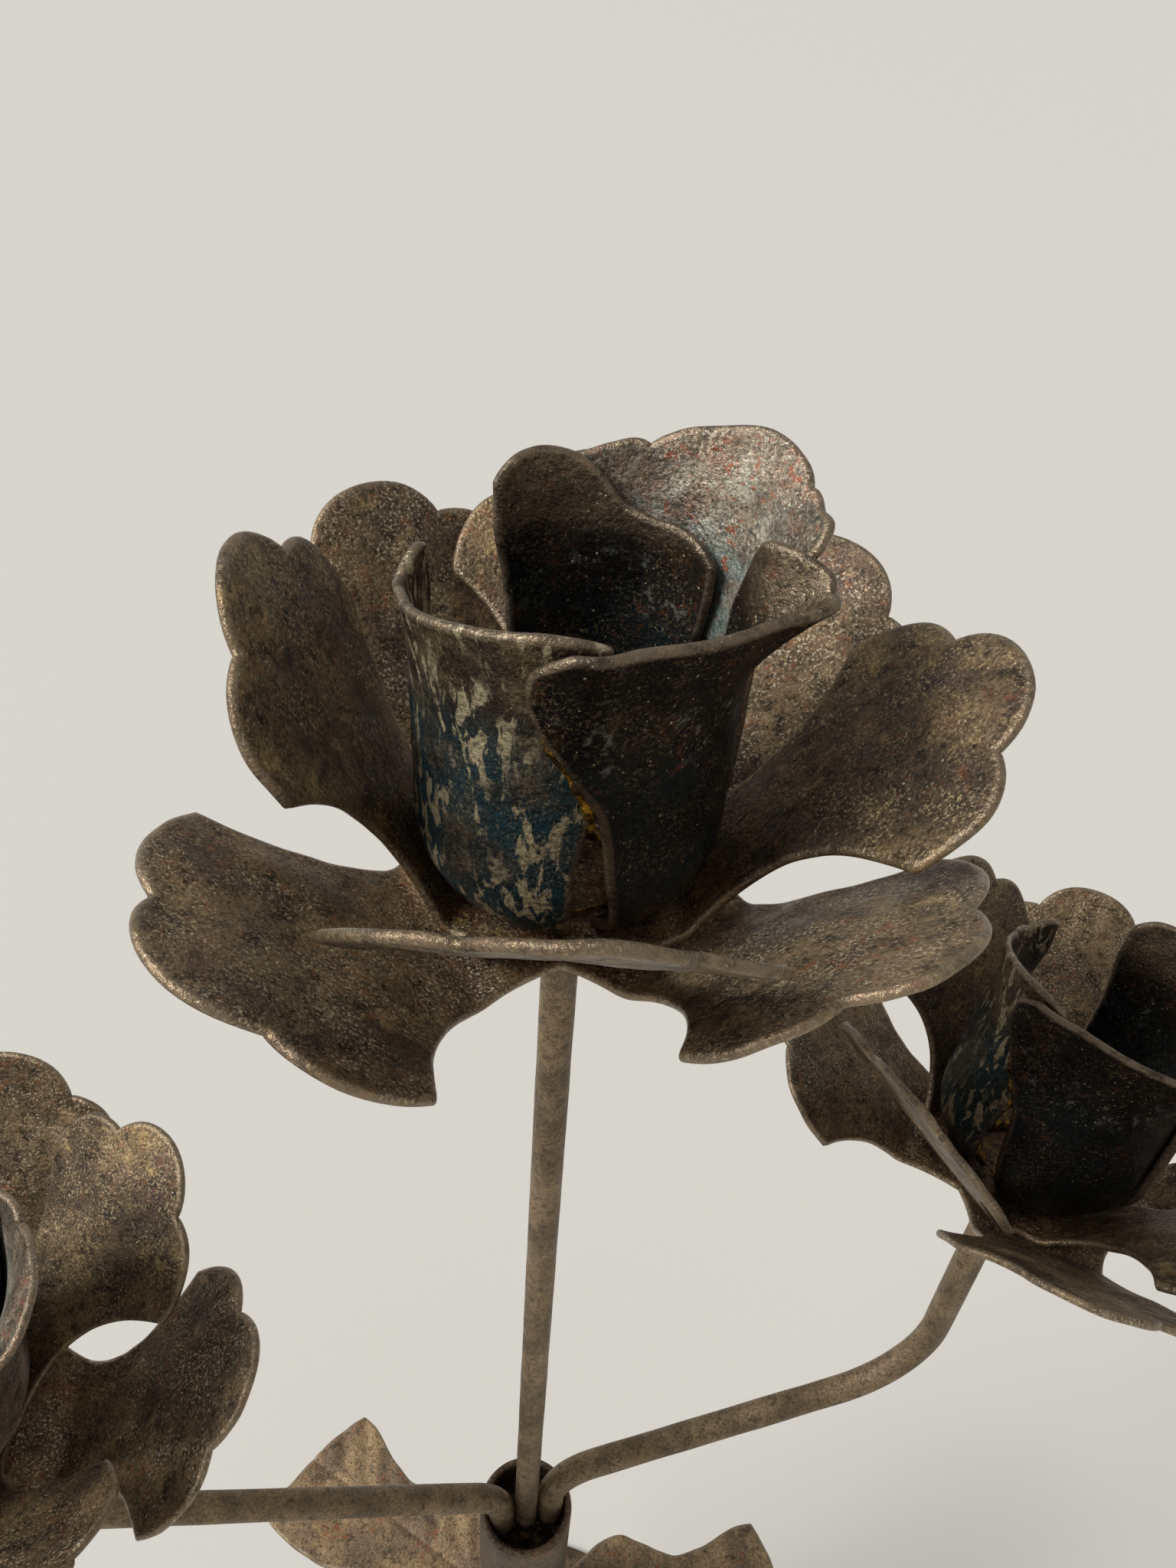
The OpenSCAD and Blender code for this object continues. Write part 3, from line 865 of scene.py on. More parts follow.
    # Mild steel sheet left to rust: matt, light brown, with many freckles.
    LEAF = Patina(
        "rusted_sheet_steel",
        "#75604a",
        (
            clouds("#a0855f", 11.0, 0.4, 0.62),
            clouds("#bea277", 5.0, 0.53, 0.72, 0.85),
            PITS,
            GRAIN,
            freckles("#8a4a26", 0.8),
            flecks("#b8a57f", 0.5),
        ),
        metallic=0.3,
        rough=0.6,
    )
    # Brass filler as it froze, dull gold in its ripples.
    BRASS = Braze()
    # The same brass darkened by painted shade down in the trunk's mouth: nearly black, dull brown on its ripples.
    SHADED_BRASS = Braze("painted_shade_brass_braze", "#4a3719", "#0e0b08")


MATERIALS: dict[Finish, bpy.types.Material] = {}


def finish_piece(piece: bpy.types.Object, node: str, finish: Finish) -> bpy.types.Object:
    """Gives a piece its finish, and has it stand for its solid and move with the body.

    Args:
        piece: the new mesh object.
        node: the solid that it replaces.
        finish: its finish.

    Returns:
        The same piece.
    """
    if finish not in MATERIALS:
        MATERIALS[finish] = finish.value.build()
    piece.data.materials.append(MATERIALS[finish])
    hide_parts(node)
    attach(piece, "root")
    LOG.info("%s: %d faces, %s", piece.name, len(piece.data.polygons), finish.name)
    return piece


def leaning(t: np.ndarray, start: np.ndarray, middle: np.ndarray, end: np.ndarray) -> np.ndarray:
    """Points from start to end along a curve that leans to middle.

    The curve is (1-t)^2 start + 2t(1-t) middle + t^2 end.

    Args:
        t: shares of the way, one a row.
        start: the first point.
        middle: the point that it leans to.
        end: the last point.

    Returns:
        One point for each share.
    """
    return (1 - t) ** 2 * start + 2 * t * (1 - t) * middle + t**2 * end


@dataclass(frozen=True)
class Bend:
    """How one petal of a blank stands.

    Angles are degrees, and a curl is the turn along the whole petal. broad says how far the ear on either side
    of its middle is the broad kind, from 0 to 1.
    """

    azimuth: float
    tilt: float
    twist: float = 0.0
    curl: float = 0.0
    broad: tuple[float, float] = (0, 0)


@dataclass
class Blank:
    """A four-petalled blank of sheet: a flat square with a petal bent up from each of its sides.

    reach is a petal's length from the middle, crotch half the side of the square, bend_at the distance of the
    bending line and bend_run the length of the arc there. shift moves the blank back and drop lowers it.
    dent, hammer and planish are the depth of the hammer marks and the distances of the coarse and fine ones,
    wave and wave_size the height and length of the sheet's slow waves. The points of the outline, ear_tip to
    broad_waist, are shares of the reach: out along the petal, and across it. inner_rows lie on the square, and
    drawn_rows are the first of the petal's rows, which are drawn to the square's side.
    """

    bends: tuple[Bend, ...]
    bend_at: float
    seed: int
    reach: float = 49.3
    crotch: float = 9.0
    shift: float = 0.0
    inset: float = 0.45
    bend_run: float = 2.0
    thick: float = 1.0
    drop: float = 0.0
    dent: float = 0.28
    hammer: float = 11.0
    planish: float = 5.0
    wave: float = 0.5
    wave_size: float = 30.0
    ear_tip: tuple[float, float] = (0.715, 0.305)
    ear_side: tuple[float, float] = (0.9, 0.3)
    notch: tuple[float, float] = (0.9, 0.152)
    middle_side: tuple[float, float] = (1.0, 0.114)
    waist: tuple[float, float] = (0.515, 0.035)
    broad_ear: tuple[float, float] = (-0.03, 0.07)
    broad_waist: float = 0.15
    cols: int = 60
    rows: int = 52
    inner_rows: int = 6
    drawn_rows: int = 7

    def flat_petal(self, bend: Bend) -> np.ndarray:
        """The flat outline filled by a grid: out along the petal by rows, across it by columns.

        A column runs from the square to the end curve and bows with the petal's waist, by 2f(1-f). The middle
        lobe of the end takes a third of each half, and an ear the rest. The grid is drawn in by inset, because
        the round rim stands out from it.

        Args:
            bend: how the petal stands, which says how broad its ears are.

        Returns:
            Grid of places along and across the petal.
        """
        q = np.linspace(-1, 1, self.cols + 1)
        f = np.linspace(0, 1, self.rows + 1)[:, None]
        a = np.abs(q)
        broad = np.where(q < 0, bend.broad[0], bend.broad[1])[:, None]
        tip = np.array(self.ear_tip) + broad * np.array(self.broad_ear)
        middle, notch, side = np.array(self.middle_side), np.array(self.notch), np.array(self.ear_side)
        lobe = leaning(np.clip(a * 3, 0, 1)[:, None], np.array([1, 0]), middle, notch)
        ear = leaning(np.clip((a * 3 - 1) / 2, 0, 1)[:, None], notch, side, tip)
        end = self.reach * np.where(a[:, None] <= 1 / 3 + 1e-9, lobe, ear)
        square = np.array([self.crotch, self.crotch])
        full = broad * np.array([0, self.broad_waist])
        waist = self.reach * (np.array(self.waist) + full) - (square + self.reach * tip) / 2
        bow = 2 * f * (1 - f)
        u = self.crotch * (1 - f) + end[:, 0] * f + a**2 * waist[:, 0] * bow
        s = np.sign(q) * (a * self.crotch * (1 - f) + end[:, 1] * f + a * waist[:, 1] * bow)
        return np.stack([u - self.inset * f, s - self.inset * q], -1)

    def bent(self, flat: np.ndarray, bend: Bend) -> np.ndarray:
        """Bends flat points: an arc of bend_run, then a straight or gently curled run, about a twisted line.

        Args:
            flat: places along and across the petal.
            bend: how the petal stands.

        Returns:
            Points of the middle surface, with the flat square at zero height.
        """
        tilt, twist, azimuth = (math.radians(v) for v in (bend.tilt, bend.twist, bend.azimuth))
        curl = math.radians(bend.curl) / self.reach
        u, s = flat[..., 0], flat[..., 1]
        m = u * math.cos(twist) + s * math.sin(twist)
        n = s * math.cos(twist) - u * math.sin(twist)
        w = np.maximum(m - self.bend_at, 0)
        arc = np.minimum(w, self.bend_run)
        rest = w - arc
        radius = self.bend_run / tilt
        turn = tilt + curl * rest
        if abs(curl) > 1e-9:
            run, rise = (np.sin(turn) - math.sin(tilt)) / curl, (math.cos(tilt) - np.cos(turn)) / curl
        else:
            run, rise = rest * math.cos(tilt), rest * math.sin(tilt)
        run = run + radius * np.sin(arc / radius)
        z = rise + radius * (1 - np.cos(arc / radius))
        m = np.where(m > self.bend_at, self.bend_at + run, m)
        u, s = m * math.cos(twist) - n * math.sin(twist), m * math.sin(twist) + n * math.cos(twist)
        x = u * math.cos(azimuth) - s * math.sin(azimuth)
        y = u * math.sin(azimuth) + s * math.cos(azimuth)
        return np.stack([x, y, z], -1)

    def petal(self, number: int) -> Surface:
        """One petal with its quarter of the flat square, from the axis to the end.

        Args:
            number: which of the four.

        Returns:
            The petal's surface, open along the square's diagonals.
        """
        bend = self.bends[number]
        before, after = self.bends[number - 1], self.bends[(number + 1) % 4]
        corners = [
            bend.azimuth - ((bend.azimuth - before.azimuth) % 360) / 2,
            bend.azimuth + ((after.azimuth - bend.azimuth) % 360) / 2,
        ]
        corner = [np.array([math.cos(math.radians(c)), math.sin(math.radians(c)), 0]) for c in corners]
        flat = self.flat_petal(bend)
        points = self.bent(flat, bend)
        share = np.linspace(0, 1, self.cols + 1)[:, None]
        square = self.crotch * math.sqrt(2) * (corner[0] * (1 - share) + corner[1] * share)
        f = np.linspace(0, 1, self.rows + 1)[:, None, None]
        # The first rows are drawn to the square's straight side, so that neighbours meet.
        pull = np.clip(1 - f * self.rows / self.drawn_rows, 0, 1) ** 2
        points = points + pull * (square - points[0])[None]
        inner = square[None] * np.linspace(0, 1, self.inner_rows + 1)[:-1, None, None]
        grid = np.concatenate([inner, points])
        normal = grid_normals(grid)
        normal[: self.inner_rows] = (0, 0, 1)
        normal *= np.sign(normal[..., 2:])
        normal[self.inner_rows, [0, -1]] = (0, 0, 1)
        distance = np.linalg.norm(grid[..., :2], axis=-1)
        half_way = self.reach * 0.55
        free = smooth_step(distance, self.crotch + 1, half_way)
        coarse = hammered(grid, self.hammer, self.seed + number)
        fine = hammered(grid, self.planish, self.seed + 50 + number)
        wave = hammered(grid, self.wave_size, self.seed + 90 + number)
        relief = self.dent * (coarse * 0.75 + fine * 0.25) + self.wave * wave
        grid = grid + normal * (relief * free)[..., None]
        grid[..., 1] += self.shift
        grid[..., 2] -= self.thick / 2 + self.drop
        uneven = grid_normals(grid)
        normal = np.where(free[..., None] > 0, unit(uneven * np.sign(uneven[..., 2:])), normal)
        width = self.cols + 1
        first, last = self.inner_rows, self.inner_rows + self.rows
        border = np.concatenate(
            [
                np.arange(first, last + 1) * width,
                last * width + np.arange(1, width),
                np.arange(last - 1, first - 1, -1) * width + width - 1,
            ]
        )
        out = np.clip((distance - self.crotch) / half_way, 0, 1)
        ends = np.array(corner)
        return sheet(grid, normal, out, self.thick, border, False, end_out=ends, skip_rows=self.inner_rows)

    def surface(self) -> Surface:
        """All four petals, which share the flat square."""
        return Surface.joined([self.petal(k) for k in range(4)])


@dataclass
class RolledPetal:
    """A petal rolled round the candle: a wall that swells from its foot, stands straight and flares at its lip.

    left and right give the azimuth of its side edges by height. crest gives the height of its upper edge by
    azimuth, as arcs that meet in notches. flare is the outward reach of its lip by azimuth, and lap how far it
    lies outside the inner layer by azimuth. The wall swells up to belly_h and flares from lip_h on. dent,
    hammer and planish are as on the blanks, and the marks begin between the heights of plain. tint_h is the
    height where the finish's OUT reaches 1.
    """

    left: tuple
    right: tuple
    crest: tuple
    flare: tuple
    lap: tuple
    seed: int
    foot_r: float = 7.5
    wall_r: float = 13.75
    belly_h: float = 10.5
    belly_power: float = 2.4
    lip_h: float = 22.5
    lip_top: float = 36.0
    lip_power: float = 2.2
    thick: float = 1.0
    dent: float = 0.1
    hammer: float = 7.0
    planish: float = 3.5
    plain: tuple[float, float] = (5.0, 16.0)
    tint_h: float = 34.0
    cols: int = 110
    rows: int = 84

    def top(self, azimuth: np.ndarray) -> np.ndarray:
        """Height of the upper edge: the highest of its arcs."""
        return np.max([np.where(inside_of(azimuth, arc), eased(azimuth, arc), 0) for arc in self.crest], axis=0)

    def surface(self) -> Surface:
        """The wall as a grid: columns between the side edges, rows from the foot to the upper edge.

        Radius = foot + (wall - foot)(1 - (1 - h/belly)^power) + lap + flare ((h - lip)/(top - lip))^power,
        where each of the two powers has its own value.

        Returns:
            The petal's surface, with its foot at zero height.
        """
        q = np.linspace(0, 1, self.cols + 1)
        f = np.linspace(0, 1, self.rows + 1)[:, None]
        ends = [side[-1][1] for side in (self.left, self.right)]
        h = f * self.top(ends[0] + (ends[1] - ends[0]) * q)
        lower, upper = eased(h, self.left), eased(h, self.right)
        azimuth = lower + (upper - lower) * q
        belly = 1 - (1 - np.clip(h / self.belly_h, 0, 1)) ** self.belly_power
        lip = np.clip((h - self.lip_h) / (self.lip_top - self.lip_h), 0, 1.4)
        r = self.foot_r + (self.wall_r - self.foot_r) * belly + eased(azimuth, self.lap)
        r = r + eased(azimuth, self.flare) * lip**self.lip_power
        turn = np.radians(azimuth)
        grid = np.stack([r * np.cos(turn), r * np.sin(turn), h], -1)
        normal = grid_normals(grid)
        outward = np.stack([np.cos(turn), np.sin(turn), 0 * turn], -1)
        normal *= -np.sign(np.sum(normal * outward, -1))[..., None]
        free = smooth_step(h, *self.plain)
        bump = hammered(grid, self.hammer, self.seed) * 0.6 + hammered(grid, self.planish, self.seed + 7) * 0.25
        grid = grid + normal * (self.dent * bump * free)[..., None]
        # The foot is lifted a little, to keep its round rim off the blank.
        grid[0, :, 2] += self.thick * 0.12
        border = grid_border(*grid.shape[:2])
        return sheet(grid, normal, np.clip(h / self.tint_h, 0, 1), self.thick, border, True)


UPPER_BENDS = (
    Bend(1.2, 49, 6, -7),
    Bend(89, 48),
    Bend(184.6, 63.5, -4),
    Bend(272.2, 46, -3.5, 0, (1, 0)),
)
LOWER_BENDS = (
    Bend(45, 47, 6),
    Bend(133.5, 58, -4),
    Bend(229.3, 35, -16.5, -3, (1, 0.5)),
    Bend(313.5, 40.5, 3, -7, (0.2, 0.7)),
)


def lower_blank(seed: int) -> Blank:
    """The blank that lies below, with its petals between those of the upper one."""
    return Blank(LOWER_BENDS, 15.8, seed, crotch=10.5, shift=4.0, drop=1.1)


def upper_blank(seed: int) -> Blank:
    """The blank that the cup stands on."""
    return Blank(UPPER_BENDS, 9.6, seed)


def rolled_petals(seed: int) -> list[RolledPetal]:
    """The four rolled petals of a cup, in the order of the solids.

    Args:
        seed: picks their hammer marks.

    Returns:
        The petal at the seam, the one lapped over it, the tall one and the one that wraps round the back.
    """
    seam = RolledPetal(
        left=((0, 188), (10, 184), (20, 175), (29, 169), (32, 171)),
        right=((0, 273), (8, 271.5), (14, 273.5), (19, 277), (30, 279)),
        crest=(
            ((160, 31.5), (169, 32.4), (175, 32.6), (181, 31.9), (187, 31.2)),
            (
                *((182, 31.1), (191, 31.5), (201, 31.5), (222, 32.6), (237, 33.4)),
                *((251, 34.1), (262, 34.5), (272, 34.2), (285, 33)),
            ),
        ),
        flare=((166, -0.4), (176, 0.6), (186, 2.3), (205, 2.2), (240, 1.5), (270, 1.2), (281, 1.0)),
        lap=((166, -0.1), (175, 0.0), (281, 0.0)),
        seed=seed,
    )
    lapped = RolledPetal(
        left=(
            *((0, 295), (5, 292), (11, 287), (16, 284), (19, 281)),
            *((23, 273), (27, 263), (30, 259), (32, 260.5), (33.9, 270)),
        ),
        right=((0, 368), (10, 375), (20, 378), (34, 378)),
        crest=(
            (
                *((255, 33.2), (270, 33.9), (285, 33.95), (300, 33.9), (315, 33.5)),
                *((327, 33.2), (340, 33.3), (347, 34.0), (352, 33.4)),
            ),
            ((345, 32), (349, 34.2), (354, 35.4), (360, 35.7), (367, 34.8), (373, 32.5), (379, 27)),
        ),
        flare=(
            *((256, 1.3), (275, 1.9), (300, 2.7), (320, 3.6), (335, 5.6)),
            *((345, 9.4), (350, 7.6), (356, 3.6), (379, 1.2)),
        ),
        lap=((256, 1.15), (278, 1.1), (288, 0.1), (300, 0.0), (386, 0.0)),
        seed=seed + 1,
    )
    tall = RolledPetal(
        left=((0, 64), (10, 58), (16, 50), (21, 42), (26, 37), (30, 37)),
        right=((0, 117), (14, 119), (24, 121), (30, 125), (34, 125)),
        crest=(
            (
                *((30, 28), (41, 30), (52, 31.1), (69, 31.4), (80, 32.5), (88, 34.6)),
                *((94, 35.7), (102, 36.4), (111, 36.5), (119, 35.8), (126, 34), (130, 32)),
            ),
        ),
        flare=((34, 0.3), (80, 0.8), (110, 1.25), (129, 0.6)),
        lap=((34, 0.0), (129, 0.0)),
        seed=seed + 2,
    )
    wrap = RolledPetal(
        left=((0, 24), (8, 14), (20, 8), (36, 6)),
        right=((0, 88), (14, 99), (28, 104), (34, 103)),
        crest=(
            ((60, 30), (73, 36.5), (85, 36.4), (89, 36), (97, 35), (106, 32)),
            ((18, 34), (24, 37.2), (33, 39.2), (40, 39.9), (54, 39.2), (66, 38), (73, 36.5), (80, 33)),
            ((0, 33), (6, 35), (8, 35.9), (16, 36.5), (24, 37.2), (30, 35.5)),
        ),
        flare=((4, 4.8), (20, 4.4), (40, 3.0), (55, 2.4), (75, 2.0), (106, 1.2)),
        lap=((4, 1.15), (106, 1.15)),
        seed=seed + 3,
    )
    return [seam, lapped, tall, wrap]


@dataclass
class Flower:
    """A rose: two blanks, a cup of four rolled petals and the brass that holds them.

    It leans towards lean_azimuth and is spun about its own axis, in degrees. bead_r and bead_size are the radii
    of the brass ring inside the cup's foot and of its bead, which thins at gap_turn, in radians, where the V
    between the two front petals opens. The collar goes round the rod, under the blanks, and the streak of brass
    runs up the seam between the heights of seam, seam_turn degrees off the lapped petal's edge.
    """

    hand: Hand
    place: np.ndarray
    lean: float
    lean_azimuth: float
    spin: float
    rod_r: float
    seed: int
    # The second and third cup petals take the finish with painted shade, the fourth the one with painted light
    # and shade.
    cup_finishes: tuple[Finish, ...] = (Finish.BLUED, Finish.OILED_AND_SHADED, Finish.OILED_AND_SHADED, Finish.PALE)
    gap_turn: float = 4.94
    bead_r: float = 6.1
    bead_size: float = 0.75
    under: float = 2.3
    collar_gap: float = 0.35
    collar_size: float = 0.7
    seam: tuple[float, float] = (17.5, 26.5)
    seam_r: float = 14.5
    seam_turn: float = 3.6
    seam_size: float = 0.5

    def axes(self) -> np.ndarray:
        """Turn of the flower: a spin about its own axis, then a lean towards an azimuth.

        Returns:
            The rotation matrix.
        """
        lean, azimuth, spin = (math.radians(v) for v in (self.lean, self.lean_azimuth, self.spin))
        spun = Matrix.Rotation(lean, 3, "Y") @ Matrix.Rotation(spin - azimuth, 3, "Z")
        return np.array(Matrix.Rotation(azimuth, 3, "Z") @ spun)

    def put(self, surface: Surface, part: str, finish: Finish) -> None:
        """Places a surface made round the flower's own axis, and dresses it as one of the flower's parts.

        Args:
            surface: the part's surface.
            part: the part's name, without the flower's.
            finish: its finish.
        """
        surface.points = surface.points @ self.axes().T + self.place
        node = f"{self.hand.value}_{part}"
        finish_piece(surface.to_object(node + "_skin"), node, finish)

    def build(self) -> None:
        """Builds every part of the flower."""
        self.put(lower_blank(self.seed).surface(), "lower_petals", Finish.PETAL)
        self.put(upper_blank(self.seed + 20).surface(), "upper_petals", Finish.UPPER)
        for number, petal in enumerate(rolled_petals(self.seed + 40), start=1):
            self.put(petal.surface(), f"cup_petal_{number}", self.cup_finishes[number - 1])
        self.put(self.braze(), "braze", Finish.BRASS)

    def braze(self) -> Surface:
        """Lumpy beads: a ring inside the cup's foot, a collar round the rod and a streak in the seam.

        Returns:
            The surface of all three.
        """
        turn = np.linspace(0, 2 * math.pi, 121)
        lumps = 1 + 0.16 * hammered(np.stack([turn * 6.0, turn * 0], -1), 2.2, self.seed + 60)
        ring = np.stack([self.bead_r * np.cos(turn), self.bead_r * np.sin(turn), 0 * turn + 0.5], -1)
        gap = np.abs((turn - self.gap_turn + math.pi) % (2 * math.pi) - math.pi)
        inner = swept(ring, self.bead_size * lumps * (0.25 + 0.75 * smooth_step(gap, 0.3, 0.6)), 14)
        collar_r = self.rod_r + self.collar_gap
        ring = np.stack([collar_r * np.cos(turn), collar_r * np.sin(turn), 0 * turn - self.under - 0.25], -1)
        collar = swept(ring, self.collar_size * lumps, 14)
        h = np.linspace(*self.seam, 60)
        lapped = rolled_petals(0)[1]
        azimuth = np.radians(eased(h, lapped.left) - self.seam_turn)
        line = np.stack([self.seam_r * np.cos(azimuth), self.seam_r * np.sin(azimuth), h], -1)
        swell = np.sin(np.linspace(0.35, 2.9, 60))
        size = self.seam_size * (1 + 0.5 * hammered(line, 2.0, self.seed + 61)) * swell
        streak = swept(line, np.maximum(size, 0.06), 12)
        return Surface.joined([inner, collar, streak])


@dataclass
class Rods:
    """The three rods: a straight one for the centre flower and two that bend out of the trunk's mouth.

    tuck_r and tuck_depth say how far from the trunk's axis and how deep in it the arms stand. stem_under and
    arm_under are how far below the top of a flower's plates a rod ends.
    """

    mouth_h: float = 160.0
    tuck_r: float = 4.35
    tuck_depth: float = 30.0
    mouth_bend_r: float = 9.0
    elbow_r: float = 18.0
    left_arm_rise: float = 27.4
    right_arm_rise: float = 12.0
    left_mouth_rise: float = 0.5
    right_mouth_rise: float = 2.5
    riser_lean: float = 1.0
    stem_r: float = 2.0
    arm_r: float = 2.25
    stem_under: float = 2.2
    arm_under: float = 2.6

    def arm_path(self, reach: float, azimuth: float, top: float, rise: float, mouth_rise: float) -> np.ndarray:
        """Axis of an arm: up out of the mouth, an arc outwards, a run, an arc upwards and a riser.

        Args:
            reach: distance of the flower's plates from the trunk's axis.
            azimuth: direction of the flower, in degrees.
            top: height of the flower's plates.
            rise: angle of the run above the level, in degrees.
            mouth_rise: straight length above the mouth.

        Returns:
            Points of the axis.
        """
        out_turn, lean = math.radians(90 - rise), math.radians(self.riser_lean)
        out_sin, out_cos = math.sin(out_turn), math.cos(out_turn)
        lean_sin, lean_cos = math.sin(lean), math.cos(lean)
        plates = np.array([reach, top])
        start = np.array([self.tuck_r, self.mouth_h + mouth_rise])
        out_end = start + self.mouth_bend_r * np.array([1 - out_cos, out_sin])
        left = plates - out_end - self.elbow_r * np.array([lean_cos - out_cos, out_sin - lean_sin])
        riser = (left[1] * out_sin - left[0] * out_cos) / math.sin(out_turn - lean)
        run = (left[0] - riser * lean_sin) / out_sin
        run_end = out_end + run * np.array([out_sin, out_cos])
        t = np.linspace(0, out_turn, 24)[:, None]
        first = start + self.mouth_bend_r * np.concatenate([1 - np.cos(t), np.sin(t)], 1)
        t = np.linspace(out_turn, lean, 24)[:, None]
        second = run_end + self.elbow_r * np.concatenate([np.cos(t) - out_cos, out_sin - np.sin(t)], 1)
        end = plates - self.arm_under * np.array([lean_sin, lean_cos])
        share = np.linspace(0, 1, 30)[:, None]
        low = np.array([self.tuck_r, self.mouth_h - self.tuck_depth])
        legs = [low + (start - low) * share[:-1], first, out_end + (run_end - out_end) * share[1:-1], second]
        flat = np.concatenate(legs + [second[-1] + (end - second[-1]) * share[1:]])
        a = math.radians(azimuth)
        return np.stack([flat[:, 0] * math.cos(a), flat[:, 0] * math.sin(a), flat[:, 1]], -1)

    def bar(self, path: np.ndarray, radius: float, seed: int) -> Surface:
        """A drawn bar, a little uneven where it was heated.

        Args:
            path: points of its axis.
            radius: its greatest radius.
            seed: picks the unevenness.

        Returns:
            The bar's surface.
        """
        uneven = 1 + 0.012 * hammered(path, 9, seed) - 0.012
        return swept(path, radius * uneven)

    def build(self, flowers: dict[Hand, tuple[float, float, float]]) -> None:
        """Builds the stem and both arms.

        Args:
            flowers: distance from the trunk, azimuth and height of each flower's plate.
        """
        low, top = self.mouth_h - self.tuck_depth, flowers[Hand.CENTRE][2] - self.stem_under
        h = np.linspace(low, top, 160)
        stem = self.bar(np.stack([0 * h, 0 * h, h], -1), self.stem_r, 5).to_object("centre_stem_bar")
        finish_piece(stem, "centre_stem", Finish.ROD)
        arms = (
            (Hand.LEFT, self.left_arm_rise, self.left_mouth_rise),
            (Hand.RIGHT, self.right_arm_rise, self.right_mouth_rise),
        )
        for number, (hand, rise, mouth_rise) in enumerate(arms):
            path = self.arm_path(*flowers[hand], rise, mouth_rise)
            arm = self.bar(path, self.arm_r, 11 + number).to_object(f"{hand.value}_arm_bar")
            finish_piece(arm, f"{hand.value}_arm", Finish.ROD)


